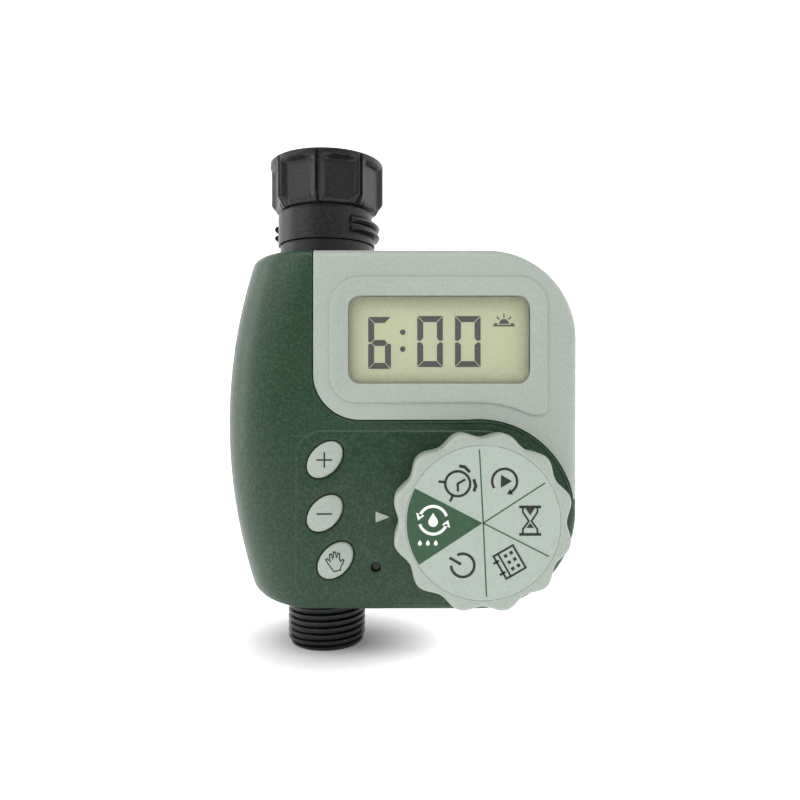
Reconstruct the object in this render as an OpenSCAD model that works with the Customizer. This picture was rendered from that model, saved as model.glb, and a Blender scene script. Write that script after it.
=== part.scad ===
// Hose-tap watering timer: a swivel inlet hangs from the tap, a diaphragm valve sits in the left
// side of the case, and a dial, three buttons and a liquid-crystal display sit on the front.
// The origin is the centre of the inlet coupling's mouth, on the axis of the water pipe.
// X runs to the right, Y to the back and Z up. Sizes are in millimetres.

/* [Case] */
// Distance from the inlet mouth down to the top of the case
case_top = 34.2; // [34:0.1:36]
// Distance from the pipe axis forward to the front face
case_front = 24; // [24:0.5:27]
// Distance from the pipe axis back to the rear face
case_back = 28; // [28:0.5:32]
// Thickness of the case walls
wall = 2.4; // [2:0.1:2.8]
// Radius of the bulged left side, seen from the front
bulge_r = 180; // [170:1:190]
// Radius of the upper right corner
corner_r = 29; // [28:0.1:30]
// Radius of the rounding along the front and rear edges
edge_r = 3.5; // [3:0.1:4]
// Width of the rounded left side on the front
side_w = 25.4; // [22:0.1:26]
// Width of the rounded left side on the rear
side_back_w = 18; // [14:0.5:20]

/* [Display] */
// Gap between the display cover and the front cover
cover_gap = 0.35; // [0.2:0.05:0.5]
// How far the frame around the window stands out
frame_h = 0.7; // [0.4:0.1:1]
// Width of the display window
window_w = 58.5; // [56:0.5:60]
// Height of the display window
window_h = 28.3; // [27:0.1:29]

/* [Controls] */
// Largest radius of the dial, at its lobes
dial_r = 27.8; // [27:0.1:28]
// Height of the dial's face above the front of the case
dial_h = 13; // [11:0.5:14]
// Number of lobes round the dial
dial_lobes = 12; // [8:1:16]
// Long half axis of each oval button
button_a = 6.8; // [6:0.1:7]
// Short half axis of each oval button
button_b = 4.6; // [4:0.1:4.8]
// Tilt of the buttons' long axis from the horizontal
button_tilt = 47; // [40:1:55]
// How far a button can be pressed
button_travel = 1; // [0.6:0.1:1.2]
// Height of the raised control panel
panel_h = 0.3; // [0.2:0.05:0.4]

/* [Water fittings] */
// Largest radius of the inlet coupling
coupling_r = 19.8; // [19:0.1:21]
// Number of finger panels round the inlet coupling
coupling_panels = 8; // [6:1:10]
// Crest radius of the outlet's male hose thread
outlet_r = 13.5; // [13.4:0.05:13.6]
// Crest radius of the inlet's female hose thread
inlet_r = 12.35; // [12.3:0.05:12.4]
// Distance from one thread turn to the next
thread_pitch = 2.209; // [2:0.001:2.4]
// Length of the threaded outlet below the case
outlet_len = 16.9; // [15:0.1:18]

/* [Hidden] */
$fn = 72;

green = [0.2, 0.3, 0.22];
light_grey = [0.72, 0.77, 0.73];
black = [0.14, 0.15, 0.14];
steel = [0.7, 0.71, 0.72];
far = 200;
eps = 0.01;

// Outline of the case
case_z = -case_top;
dial_x = 51.1;
dial_z = -120.25;
lower_r = 31.9;
lower_x = 51.2;
lower_z = -119;
case_bottom = lower_z - lower_r;
corner_x = 83.2 - corner_r;
corner_z = case_z - corner_r;
bulge_z = -91;
bulge_x = -34.1 + bulge_r;
top_left_r = 4.2;
bottom_left_r = 8;
front_y = -case_front;
back_y = case_back;
// The right edge touches both right-hand corners, so it leans by this angle
corner_apart = norm([corner_x - lower_x, corner_z - lower_z]);
right_lean = atan2(corner_z - lower_z, corner_x - lower_x)
    - acos((lower_r - corner_r) / corner_apart);

// Levels through the case, as distances in from the front face and in from the rear face
front_levels = [0, 0.15, 0.5, 1.1, 2, 3.5, 5.5, 8.5, 12, 16, 20];
back_levels = [0, 0.2, 0.7, 1.5, 2.6, 4.5, 7.5, 12, 17, 22];

// Display cover and its frame
cover_x = -2;
cover_z = -89.35;
cover_corner_r = 15;
cover_arc_r = 31.1;
cover_end_z = -115;
seat_y = front_y + 5.8;
deck_t = 1.4;
cover_wall = 2;
window_x = 38.5;
window_z = -63.55;
window_r = 3.7;
frame_x0 = 3.1;
frame_x1 = 73.5;
frame_z0 = -84;
frame_z1 = -43.3;
tail_arc_r = 36.2;
tail_z = -88;
dish_edge = 0.8;

// Layers behind the front face
panel_back_y = front_y + wall;
lens_y = front_y + 2.2;
lcd_y = front_y + 3.5;
pcb_y = front_y + 7.5;
pcb_t = 1.6;

// Controls: places of the three buttons and of the small parts near them
button_spots = [[1.8, -102.1], [1.8, -119.3], [5.2, -134.4]];
button_gap = 0.35;
crown_r = 30;
button_top = front_y - 2;
stem_r = 1.6;
mat_t = 1;
stem_end = pcb_y - mat_t - button_travel - 0.1;
reset_spot = [18.2, -136.7];
pointer_spot = [18.1, -120.5];
panel_x = -7.1;
panel_z0 = -147;
panel_z1 = -93.2;
panel_ring_r = 27;
shaft_r = 3;
shaft_fit = 0.06;
clip_y = panel_back_y + 2.3;
dial_y = front_y - dial_h;
dial_gap = 0.8;
label_r = 23.5;
label_t = 0.3;

// Screws: spots in the case and in the circuit board
case_screw_spots = [[-15.5, -42.2], [-15.5, -139.6], [73.5, -53.5], [76, -104.5], [40, -144], [30, -40.8]];
// Where each case boss starts inside the front wall and ends inside the rear wall
boss_front = [-17.3, -17.3, -17.5, -22.8, -22.8, -17.5];
boss_back = [22.4, 22.4, 27, 27, 27, 27];
pcb_screw_spots = [[-2, -93.4], [24, -143], [3.2, -62], [74.6, -68]];
screw_r = 1.4;
boss_r = 2.6;

// Valve: the diaphragm lies across the Y axis
valve_z = -112;
chamber_r = 16.5;
flange_r = 20;
seat_r = 8.2;
flange_y = 9;
diaphragm_t = 1;
bonnet_y = flange_y + diaphragm_t;
ear_d = 16.3;
valve_lift = 3;
tube_r = 12;
bore_r = 8.5;

// Solenoid: it lies along X behind the bonnet
coil_y = 16.8;
plunger_r = 3;
wire_r = 0.65;

// Inlet coupling and its neck
coupling_len = 17.6;
neck_top = -15.2;
neck_r = 12.6;
foot_z = -25.4;

// Battery bay in the right side of the rear cover
bay_x0 = 25.4;
bay_y0 = 4.2;
bay_y1 = 23.4;
bay_z0 = -98.4;
bay_z1 = -63.6;
bay_wall = 1.2;
slide_gap = 0.35;
drawer_y0 = bay_y0 + bay_wall + slide_gap;
drawer_y1 = bay_y1 - bay_wall - slide_gap;
drawer_z0 = bay_z0 + bay_wall + slide_gap;
drawer_z1 = bay_z1 - bay_wall - slide_gap;
cell_r = 7;
cell_len = 49.3;
nub_len = 1.2;
cell_pitch = 15;
drawer_wall = 1.2;
bridge_x = 78.9;

// ---- shapes used by many parts ----

// A block between two corners
module block(x0, x1, y0, y1, z0, z1) {
    translate([x0, y0, z0]) cube([x1 - x0, y1 - y0, z1 - z0]);
}

// A front-view outline made solid from y0 to y1
module prism(y0, y1) {
    translate([0, y1, 0]) rotate([90, 0, 0]) linear_extrude(y1 - y0) children();
}

// Round bars along each axis
module rod_x(y, z, r, x0, x1) {
    translate([x0, y, z]) rotate([0, 90, 0]) cylinder(r = r, h = x1 - x0);
}

module rod_y(x, z, r, y0, y1) {
    translate([x, y1, z]) rotate([90, 0, 0]) cylinder(r = r, h = y1 - y0);
}

module rod_z(x, y, r, z0, z1) {
    translate([x, y, z0]) cylinder(r = r, h = z1 - z0);
}

// A ring round the Z axis
module ring_z(r0, r1, z0, z1) {
    difference() {
        rod_z(0, 0, r1, z0, z1);
        rod_z(0, 0, r0, z0 - 1, z1 + 1);
    }
}

module ring_y(x, z, r0, r1, y0, y1) {
    difference() {
        rod_y(x, z, r1, y0, y1);
        rod_y(x, z, r0, y0 - 1, y1 + 1);
    }
}

// A flat rectangle with round corners, each with its own radius
module field(x0, x1, z0, z1, bl, br, tr, tl) {
    polygon([[x0 + bl, z0], [x1 - br, z0], [x1, z0 + br], [x1, z1 - tr],
        [x1 - tr, z1], [x0 + tl, z1], [x0, z1 - tl], [x0, z0 + bl]]);
    translate([x0 + bl, z0 + bl]) circle(bl);
    translate([x1 - br, z0 + br]) circle(br);
    translate([x1 - tr, z1 - tr]) circle(tr);
    translate([x0 + tl, z1 - tl]) circle(tl);
}

module even_field(x0, x1, z0, z1, r) {
    field(x0, x1, z0, z1, r, r, r, r);
}

module window_field(grow) {
    even_field(window_x - window_w / 2 - grow, window_x + window_w / 2 + grow,
        window_z - window_h / 2 - grow, window_z + window_h / 2 + grow, window_r + grow / 2);
}

module oval(a, b) {
    rotate(button_tilt) scale([a / b, 1]) circle(b);
}

// A coil spring along Z, from z = 0 up to its full length
module coil(r, wire_r, length, turns, sides = 6, steps = 14) {
    rings = turns * steps;
    points = [for (i = [0:rings]) let(a = 360 * i / steps) for (k = [0:sides - 1])
        let(b = 360 * k / sides, q = r + wire_r * cos(b))
        [q * cos(a), q * sin(a), wire_r + (length - 2 * wire_r) * i / rings + wire_r * sin(b)]];
    walls = [for (i = [0:rings - 1]) for (k = [0:sides - 1])
        let(n = (k + 1) % sides, a = i * sides, b = a + sides)
            for (face = [[a + k, a + n, b + n], [a + k, b + n, b + k]]) face];
    first = [for (k = [sides - 1:-1:0]) k];
    last = [for (k = [0:sides - 1]) rings * sides + k];
    polyhedron(points, concat([first], walls, [last]));
}

function unit(v) = v / norm(v);

// An insulated wire along a path, as a tube of eight sides
module wire(path, sides = 8) {
    n = len(path);
    points = [for (i = [0:n - 1]) let(
            t = unit(path[min(i + 1, n - 1)] - path[max(i - 1, 0)]),
            u = unit(cross(t, [1, 0.7, 0.4])),
            v = cross(t, u))
        for (k = [0:sides - 1]) path[i] + wire_r * (cos(360 * k / sides) * u + sin(360 * k / sides) * v)];
    walls = [for (i = [0:n - 2]) for (k = [0:sides - 1]) let(m = (k + 1) % sides)
        [i * sides + k, (i + 1) * sides + k, (i + 1) * sides + m, i * sides + m]];
    first = [for (k = [0:sides - 1]) k];
    last = [for (k = [sides - 1:-1:0]) (n - 1) * sides + k];
    polyhedron(points, concat([first], walls, [last]));
}

// Screw pointing forward, with its head's seat at y
module screw_y(spot, y, length, head_r, head_h) {
    difference() {
        union() {
            rod_y(spot[0], spot[1], screw_r, y - length, y + eps);
            rod_y(spot[0], spot[1], head_r, y, y + head_h);
        }
        translate([spot[0], y + head_h, spot[1]]) for (a = [0, 90]) rotate([0, a, 0])
            cube([head_r * 1.2, 1.6, 0.7], center = true);
    }
}

// ---- the case's form ----

function arc(x, z, r, a0, a1, n) =
    [for (i = [0:n]) let(a = a0 + (a1 - a0) * i / n) [x + r * cos(a), z + r * sin(a)]];

// Centre of a left-hand corner of radius r that touches the bulge and the level line at z
function corner_on_bulge(z, r, bulge) =
    [bulge_x - sqrt(pow(bulge - r, 2) - pow(z - bulge_z, 2)), z];

function bulge_angle(p) = atan2(p[1] - bulge_z, p[0] - bulge_x);

// The outline, moved in by o all round and by side on the bulged left side
function outline(o, side) = let(
    bulge = bulge_r - side,
    rt = max(top_left_r - o, 0.5),
    rb = max(bottom_left_r - o, 0.5),
    top = corner_on_bulge(case_z - o - rt, rt, bulge),
    bottom = corner_on_bulge(case_bottom + o + rb, rb, bulge),
    top_a = bulge_angle(top),
    bottom_a = bulge_angle(bottom) + 360)
    concat(
        arc(corner_x, corner_z, corner_r - o, right_lean, 90, 20),
        arc(top[0], top[1], rt, 90, top_a, 7),
        arc(bulge_x, bulge_z, bulge, top_a + 0.5, bottom_a - 0.5, 16),
        arc(bottom[0], bottom[1], rb, bottom_a, 270, 8),
        arc(lower_x, lower_z, lower_r - o, 270, 360 + right_lean, 20));

// How far an elliptical rounding w wide and h deep stands in at depth d
function round_in(d, w, h) = d >= h ? 0 : d <= 0 ? w : w * (1 - sqrt(1 - pow(1 - d / h, 2)));

// One outline of the form that lies t inside the case's outer surface, at level y
function slice(t, y) = let(
    f = y - front_y - t,
    b = back_y - t - y,
    e = edge_r - t,
    o = t + max(round_in(f, e, e), round_in(b, e, e)),
    side = t + max(round_in(f, side_w - t, case_front - t), round_in(b, side_back_w - t, case_back - t)))
    [for (p = outline(o, max(side, o))) [p[0], y, p[1]]];

// The case's outer surface, or the form that lies t inside it
module case_form(t) {
    fs = (case_front - t) / case_front;
    bs = (case_back - t) / case_back;
    levels = concat(
        [for (d = front_levels) front_y + t + d * fs],
        [0],
        [for (i = [len(back_levels) - 1:-1:0]) back_y - t - back_levels[i] * bs]);
    rings = [for (y = levels) slice(t, y)];
    n = len(rings[0]);
    m = len(rings);
    walls = [for (i = [0:m - 2]) for (j = [0:n - 1]) let(k = (j + 1) % n)
        [i * n + j, i * n + k, (i + 1) * n + k, (i + 1) * n + j]];
    front_cap = [for (j = [n - 1:-1:0]) j];
    back_cap = [for (j = [0:n - 1]) (m - 1) * n + j];
    polyhedron([for (ring = rings) for (p = ring) p], concat([front_cap], walls, [back_cap]));
}

// The part of the front that the display cover takes, grown by g
module cover_region(g) {
    difference() {
        union() {
            field(cover_x - g, far, cover_z - g, far, cover_corner_r + g, 1, 1, 1);
            translate([dial_x, cover_end_z]) square([far, cover_z - cover_end_z]);
        }
        translate([dial_x, dial_z]) circle(cover_arc_r - g);
    }
}

// The frame round the window, with its tail over the dial
module frame_region() {
    field(frame_x0, frame_x1, frame_z0, frame_z1, 9, 1, 9.3, 10);
    difference() {
        field(dial_x, frame_x1, tail_z, frame_z0 + 8, 0.1, 2.6, 0.1, 0.1);
        translate([dial_x, dial_z]) circle(tail_arc_r);
    }
}

// The raised control panel
module panel_region() {
    field(panel_x, dial_x, panel_z0, panel_z1, 7, 1, 1, 8.2);
    translate([dial_x, dial_z]) circle(panel_ring_r);
}

module screw_spots(spots) {
    for (s = spots) translate([s[0], 0, s[1]]) children();
}

// ---- case ----

module front_hollow() {
    difference() {
        case_form(wall);
        prism(front_y, seat_y + deck_t) cover_region(cover_gap + cover_wall);
        block(-far, far, 1, far, -far, 0);
    }
}

module front_cover() {
    color(green) difference() {
        union() {
            difference() {
                case_form(0);
                block(-far, far, 0, far, -far, far);
                front_hollow();
            }
            for (i = [0:5]) let(s = case_screw_spots[i]) rod_y(s[0], s[1], boss_r, boss_front[i], 0);
            for (i = [0, 1]) let(s = pcb_screw_spots[i]) rod_y(s[0], s[1], boss_r, front_y + 1.2, pcb_y);
            rod_y(dial_x, dial_z, 5.5, front_y + 1.2, panel_back_y + 2);
            prism(front_y - panel_h, front_y + 1.5) panel_region();
        }
        prism(front_y - 1, seat_y) cover_region(cover_gap);
        prism(seat_y - 1, pcb_y) even_field(9, 68, -79, -50, 2);
        for (s = button_spots) translate([s[0], 0, s[1]])
            prism(front_y - 1, panel_back_y + 1) oval(button_a + button_gap, button_b + button_gap);
        rod_y(reset_spot[0], reset_spot[1], 1.6, front_y - 1, panel_back_y + 1);
        rod_y(dial_x, dial_z, shaft_r + shaft_fit, front_y - 1, 0);
        screw_spots(case_screw_spots) rod_y(0, 0, screw_r, -12, 1);
        screw_spots(pcb_screw_spots) rod_y(0, 0, screw_r, pcb_y - 4, pcb_y + 1);
        gasket_ring(0.5, 0.8, 1.7);
        neck_hole();
    }
}

// Where the pipe passes through the top and the bottom of the case
module neck_hole() {
    rod_z(0, 0, 16.6, case_z - wall - 1, case_z + 1);
    rod_z(0, 0, outlet_r + 0.2, case_bottom - 1, case_bottom + wall + 1);
}

module display_cover() {
    color(light_grey) difference() {
        union() {
            intersection() {
                case_form(0);
                prism(front_y - 1, seat_y) cover_region(0);
            }
            prism(front_y - frame_h, front_y + 1) frame_region();
        }
        intersection() {
            case_form(cover_wall);
            prism(lens_y, seat_y + 1) cover_region(-cover_wall);
        }
        hull() {
            prism(front_y - frame_h - 0.3, front_y - frame_h)
                even_field(frame_x0 + dish_edge, frame_x1 - dish_edge,
                    frame_z0 + dish_edge, frame_z1 - dish_edge, 9);
            prism(front_y + 0.8, front_y + 0.9) window_field(0);
        }
        prism(front_y, lens_y + 1) window_field(0);
    }
}

module rear_cover() {
    color(green) difference() {
        union() {
            difference() {
                case_form(0);
                block(-far, far, -far, 0, -far, far);
                intersection() {
                    case_form(wall);
                    block(-far, far, -1, far, -far, 0);
                }
            }
            for (i = [0:5]) let(s = case_screw_spots[i]) rod_y(s[0], s[1], 3.6, 0, boss_back[i]);
        }
        screw_spots(case_screw_spots) rod_y(0, 0, screw_r + 0.3, -1, back_y);
        screw_spots(case_screw_spots) rod_y(0, 0, 2.5, back_y - 10, back_y + 1);
        block(bay_x0, far, bay_y0, bay_y1, bay_z0, bay_z1);
        gasket_ring(0.5, 0.8, 1.7);
        neck_hole();
    }
}

// The groove in the joint of the two covers, and the rubber that fills it
module gasket_ring(y, o0, o1) {
    difference() {
        prism(-y, y) polygon(outline(o0, o0));
        prism(-y - 1, y + 1) polygon(outline(o1, o1));
        rod_z(0, 0, 17.6, -60, 0);
        rod_z(0, 0, outlet_r + 1.2, -far, -130);
    }
}

module case_gasket() {
    color(black) gasket_ring(0.5, 0.8, 1.7);
}

module case_screws() {
    color(steel) for (s = case_screw_spots) screw_y(s, back_y - 10, 28, 2.3, 1.8);
}

// ---- water path ----

// Half section of a male thread of ring grooves, from z1 down to z0
function thread_profile(r, depth, z0, z1, pitch) = let(n = floor((z1 - z0) / pitch))
    concat([[0, z1 + 3], [r - 0.3, z1 + 3], [r - 0.3, z1], [r, z1]],
        [for (i = [0:n - 1]) for (p = [[r, 0.2], [r - depth, 0.45], [r - depth, 0.6], [r, 0.85]])
            [p[0], z1 - (i + p[1]) * pitch]],
        [[r, z0 + 0.8], [r - 0.8, z0], [0, z0]]);

module valve_body() {
    outlet_z = case_bottom - outlet_len;
    color(black) difference() {
        union() {
            rod_z(0, 0, neck_r, -30, neck_top);
            rod_z(0, 0, 15, -30, -25.6);
            rod_z(0, 0, 16.4, case_z - wall - 0.3, -29.2);
            intersection() {
                rod_z(0, 0, 18, case_z - wall - 1.9, case_z - wall - 0.2);
                block(-far, far, seat_y + deck_t + 0.4, far, -far, 0);
            }
            rod_z(0, 0, tube_r, -100, case_z - wall);
            rod_y(0, valve_z, flange_r, -3, flange_y);
            for (x = [-ear_d, ear_d], z = [-ear_d, ear_d]) rod_y(x, valve_z + z, 3.5, -3, flange_y);
            rod_z(0, -6, 7, -139, valve_z + 6);
            rod_z(0, 0, tube_r, case_bottom, -131);
            rod_z(0, 0, 16, case_bottom + wall + 0.2, case_bottom + wall + 2.2);
            rotate_extrude() polygon(
                thread_profile(outlet_r, 1.3, outlet_z, case_bottom - 0.4, thread_pitch));
        }
        rod_z(0, 0, bore_r, -88, 0);
        rod_z(0, 0, 7, -98, -87);
        block(-far, far, flange_y, far, valve_z - flange_r - 0.2, valve_z + flange_r + 0.2);
        rod_z(0, 0, 9.6, neck_top - 0.8, 0);
        difference() {
            rod_y(0, valve_z, chamber_r, 1, flange_y + 1);
            rod_y(0, valve_z, seat_r, 0, flange_y - 2.5);
        }
        rod_y(0, valve_z, seat_r - 2, -6, flange_y + 1);
        rod_z(0, -6, 4.8, -136, valve_z + 4);
        rod_z(0, 0, 9, outlet_z - 1, -133);
        for (x = [-ear_d, ear_d], z = [-ear_d, ear_d]) rod_y(x, valve_z + z, screw_r, 0, flange_y + 1);
    }
}

// Finger panels are pressed into the coupling's side below its top rim
module coupling_panel_cut() {
    half = 180 / coupling_panels;
    flat_d = (coupling_r - 1.2) * cos(half) + 0.15;
    rotate([0, 0, -26.4 - 90]) for (i = [0:coupling_panels - 1]) rotate([0, 0, i * 2 * half])
        translate([flat_d, -coupling_r * sin(half) + 0.9, -coupling_len - 1])
            cube([5, 2 * coupling_r * sin(half) - 1.8, coupling_len - 1.6]);
}

module inlet_coupling() {
    color(black) difference() {
        union() {
            difference() {
                rotate_extrude() polygon([[0, 0], [coupling_r - 0.5, 0], [coupling_r, -0.5],
                    [coupling_r, -coupling_len + 2.2], [coupling_r - 2.2, -coupling_len],
                    [0, -coupling_len]]);
                coupling_panel_cut();
            }
            rod_z(0, 0, 15.9, -20.8, -coupling_len + 0.5);
            rod_z(0, 0, 14, -23.4, -20);
            rod_z(0, 0, 15.6, foot_z, -23.2);
        }
        rod_z(0, 0, neck_r + 0.3, foot_z - 1, -12.8);
        rod_z(0, 0, inlet_r, -13, 1);
        for (i = [0:4]) translate([0, 0, -1.6 - i * thread_pitch])
            rotate_extrude() polygon([[inlet_r - 0.5, 0.75], [inlet_r, 0.75], [13.6, 0.2],
                [13.6, -0.2], [inlet_r, -0.75], [inlet_r - 0.5, -0.75]]);
    }
}

// A collar that holds the coupling's foot down on the neck: two beads, and a plain pad in front
module coupling_retainer() {
    color(black) {
        difference() {
            rotate_extrude() polygon([[15.06, -29], [16.9, -29], [16.9, -26.4], [18.2, -26.4],
                [18.7, -25.6], [18.2, -24.8], [17.4, -24.5], [17.4, -23.7], [18.2, -23.4],
                [18.7, -22.5], [18.2, -21.6], [17.2, -21.2], [14.35, -21.2], [14.35, -22.9],
                [15.95, -22.9], [15.95, -25.7], [15.06, -25.7]]);
            difference() {
                pad_sector(0);
                rod_z(0, 0, 16.9, -40, 0);
            }
        }
        intersection() {
            rotate_extrude() polygon([[16.2, -18.9], [17.1, -18.9], [17.1, -29], [16.2, -29]]);
            pad_sector(0.4);
        }
    }
}

// The wedge of angles that the pad covers, from the left side round to the right of the front
module pad_sector(trim) {
    translate([0, 0, -35]) rotate([0, 0, 180 + trim]) rotate_extrude(angle = 123 - 2 * trim)
        translate([1, 0]) square([30, 30]);
}

module inlet_washer() {
    color([0.1, 0.1, 0.1]) ring_z(7.2, 12, neck_top + eps, neck_top + 2);
}

// A strainer basket that hangs in the neck from its rim
module filter_screen() {
    color([0.25, 0.3, 0.28]) difference() {
        union() {
            rod_z(0, 0, 9.4, neck_top - 0.75, neck_top - 0.05);
            translate([0, 0, -30]) cylinder(r1 = 4, r2 = 7.4, h = 14.6);
        }
        translate([0, 0, -29]) cylinder(r1 = 3.1, r2 = 6.5, h = 14.6);
        for (k = [0:3], a = [0:30:150]) translate([0, 0, -27.8 + 3 * k]) rotate([0, 0, a])
            cube([20, 1.1, 1.8], center = true);
    }
}

module diaphragm() {
    color([0.12, 0.12, 0.13]) translate([0, flange_y + diaphragm_t, valve_z]) rotate([90, 0, 0])
        rotate_extrude() polygon([[9.6, 0], [11, 0], [11.6, -1.2], [14.2, -1.2], [14.8, 0], [19.8, 0],
            [19.8, diaphragm_t], [14.2, diaphragm_t], [13.6, -0.2], [12.2, -0.2],
            [11.6, diaphragm_t], [9.6, diaphragm_t]]);
}

module valve_disc() {
    color([0.75, 0.62, 0.3]) difference() {
        union() {
            rod_y(0, valve_z, 9.2, flange_y - 2.45, bonnet_y);
            rod_y(0, valve_z, 2.6, flange_y - 5, bonnet_y + 0.8);
        }
        rod_y(0, valve_z, 0.6, 0, 20);
    }
}

module bonnet() {
    color(black) difference() {
        union() {
            rod_y(0, valve_z, flange_r, bonnet_y, bonnet_y + 2.5);
            for (x = [-ear_d, ear_d], z = [-ear_d, ear_d])
                rod_y(x, valve_z + z, 3.5, bonnet_y, bonnet_y + 2.5);
            rod_y(0, valve_z, 16.2, bonnet_y, bonnet_y + 6);
            rod_x(coil_y, valve_z, 6.5, 2, 21);
        }
        rod_y(0, valve_z, 15, bonnet_y - 1, bonnet_y + valve_lift + 1.2);
        rod_x(coil_y, valve_z, 4.1, 9, 22);
        rod_x(coil_y, valve_z, 0.8, 5, 10);
        rod_y(6, valve_z, 0.8, bonnet_y + 3, coil_y);
        for (x = [-ear_d, ear_d], z = [-ear_d, ear_d])
            rod_y(x, valve_z + z, screw_r + 0.2, bonnet_y - 1, bonnet_y + 4);
    }
}

module bonnet_screws() {
    color(steel) for (x = [-ear_d, ear_d], z = [-ear_d, ear_d])
        screw_y([x, valve_z + z], bonnet_y + 2.5, 11, 2.6, 1.6);
}

// A spring from the bonnet's roof to the valve disc
module diaphragm_spring() {
    color(steel) translate([0, bonnet_y + 0.05, valve_z]) rotate([-90, 0, 0])
        coil(5.4, 0.35, 4.1, 3);
}

// ---- solenoid ----

module solenoid_tube() {
    color(steel) difference() {
        union() {
            rod_x(coil_y, valve_z, 4, 10.2, 43);
            rod_x(coil_y, valve_z, 5.2, 21.1, 22.3);
        }
        rod_x(coil_y, valve_z, plunger_r + 0.08, 10, 41);
    }
}

module solenoid_bobbin() {
    color([0.85, 0.85, 0.8]) difference() {
        union() {
            rod_x(coil_y, valve_z, 4.9, 23.9, 41.5);
            rod_x(coil_y, valve_z, 7.1, 23.9, 25);
            rod_x(coil_y, valve_z, 7.1, 40.4, 41.5);
        }
        rod_x(coil_y, valve_z, 4.05, 20, 45);
    }
}

module solenoid_coil() {
    color([0.72, 0.4, 0.2]) difference() {
        rod_x(coil_y, valve_z, 6.9, 25.05, 40.35);
        rod_x(coil_y, valve_z, 4.95, 20, 45);
    }
}

module solenoid_frame() {
    color(steel) difference() {
        block(22.4, 43, coil_y - 8.4, coil_y + 8.4, valve_z - 6, valve_z + 6);
        block(23.8, 41.6, coil_y - 7.2, coil_y + 7.2, valve_z - 7, valve_z + 7);
        rod_x(coil_y, valve_z, 4.05, 20, 45);
    }
}

module solenoid_plunger() {
    color([0.6, 0.6, 0.62]) difference() {
        rod_x(coil_y, valve_z, plunger_r, 11.6, 33);
        rod_x(coil_y, valve_z, 1.4, 11, 13.6);
        rod_x(coil_y, valve_z, 1.9, 27, 34);
    }
}

module plunger_seal() {
    color([0.1, 0.1, 0.1]) union() {
        rod_x(coil_y, valve_z, 1.35, 9.05, 13.5);
        rod_x(coil_y, valve_z, 2.2, 9.05, 11.5);
    }
}

module plunger_spring() {
    color(steel) translate([27.1, coil_y, valve_z]) rotate([0, 90, 0]) coil(1.5, 0.3, 13.8, 5, 6, 16);
}

// Two insulated wires from the coil up to the circuit board's connector
module solenoid_wires() {
    color([0.7, 0.1, 0.1]) for (k = [0, 1]) let(y = 15.2, x0 = 19.2 + 2.2 * k, x1 = 30 + 3 * k, z = -102 + 1.6 * k)
        wire([[x1, y, -105], [x1, y, z - 1], [x1 - 1, y, z], [x0 + 1, y, z], [x0, y, z + 1],
            [x0, y, -63.4], [x0, y - 1, -62.4], [x0, pcb_y + pcb_t + 4, -62.4]]);
}

// ---- display and electronics ----

module lcd_lens() {
    color([0.8, 0.85, 0.8, 0.35]) prism(lens_y + eps, lens_y + 1) window_field(1.2);
}

module lcd_glass() {
    color([0.72, 0.73, 0.6]) prism(lcd_y, lcd_y + 2.1) even_field(7.6, 69.4, -79.4, -47.7, 0.5);
}

// One bar of a digit: a flat lozenge of width w from one end to the other
module bar(x0, z0, x1, z1, w) {
    length = norm([x1 - x0, z1 - z0]);
    gap = 0.35;
    translate([x0, z0]) rotate(atan2(z1 - z0, x1 - x0)) polygon([[gap, 0], [gap + w / 2, w / 2],
        [length - gap - w / 2, w / 2], [length - gap, 0], [length - gap - w / 2, -w / 2],
        [gap + w / 2, -w / 2]]);
}

// A seven-bar digit; lit lists the bars: top, upper right, lower right, bottom, lower left, upper left, middle
module digit(x, z, lit) {
    w = 1.5;
    dx = 6.6;
    dz = 7.7;
    ends = [[0, dz, dx, dz], [dx, 0, dx, dz], [dx, -dz, dx, 0], [0, -dz, dx, -dz],
        [0, -dz, 0, 0], [0, 0, 0, dz], [0, 0, dx, 0]];
    for (i = lit) bar(x + ends[i][0], z + ends[i][1], x + ends[i][2], z + ends[i][3], w);
}

// Six o'clock in bars, and a rising sun for the morning
module lcd_segments() {
    color([0.12, 0.13, 0.1]) prism(lcd_y - 0.16, lcd_y - eps) {
        digit(15.9, -64.3, [0, 2, 3, 4, 5, 6]);
        digit(32.4, -64.1, [0, 1, 2, 3, 4, 5]);
        digit(44.7, -64.1, [0, 1, 2, 3, 4, 5]);
        for (z = [-60.9, -66.4]) translate([26.8, z]) circle(0.85);
        difference() {
            translate([59.8, -58.2]) circle(1.5);
            translate([56, -62]) square([8, 3.8]);
        }
        translate([56.6, -58.9]) square([6.4, 0.45]);
        for (a = [0:45:180]) translate([59.8, -58.2]) rotate(a) translate([2.1, -0.2]) square([1.2, 0.4]);
    }
}

module lcd_holder() {
    color([0.9, 0.9, 0.88]) difference() {
        prism(lcd_y, seat_y) even_field(6, 71, -81, -46.2, 1);
        prism(lcd_y - 1, seat_y - 0.2) even_field(7.5, 69.5, -79.5, -47.6, 0.6);
        prism(lcd_y - 1, seat_y + 1) even_field(10, 67, -78.8, -50.5, 0.6);
    }
}

module zebra_strip() {
    color([0.3, 0.3, 0.32]) block(12, 65, lcd_y + 2.1, pcb_y, -78.2, -76.2);
}

module main_pcb() {
    color([0.1, 0.32, 0.2]) difference() {
        prism(pcb_y, pcb_y + pcb_t) intersection() {
            polygon(outline(4.5, 28));
            field(-far, far, -146, -39, 1, 1, 1, 1);
        }
        screw_spots(case_screw_spots) rod_y(0, 0, 3.7, -far, 0);
        screw_spots(pcb_screw_spots) rod_y(0, 0, screw_r + 0.2, -far, 0);
        rod_y(dial_x, dial_z, shaft_r + 0.6, -far, 0);
        prism(pcb_y - 1, 0) translate([-far, -far]) square([far - 6.5, far]);
    }
}

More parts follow.
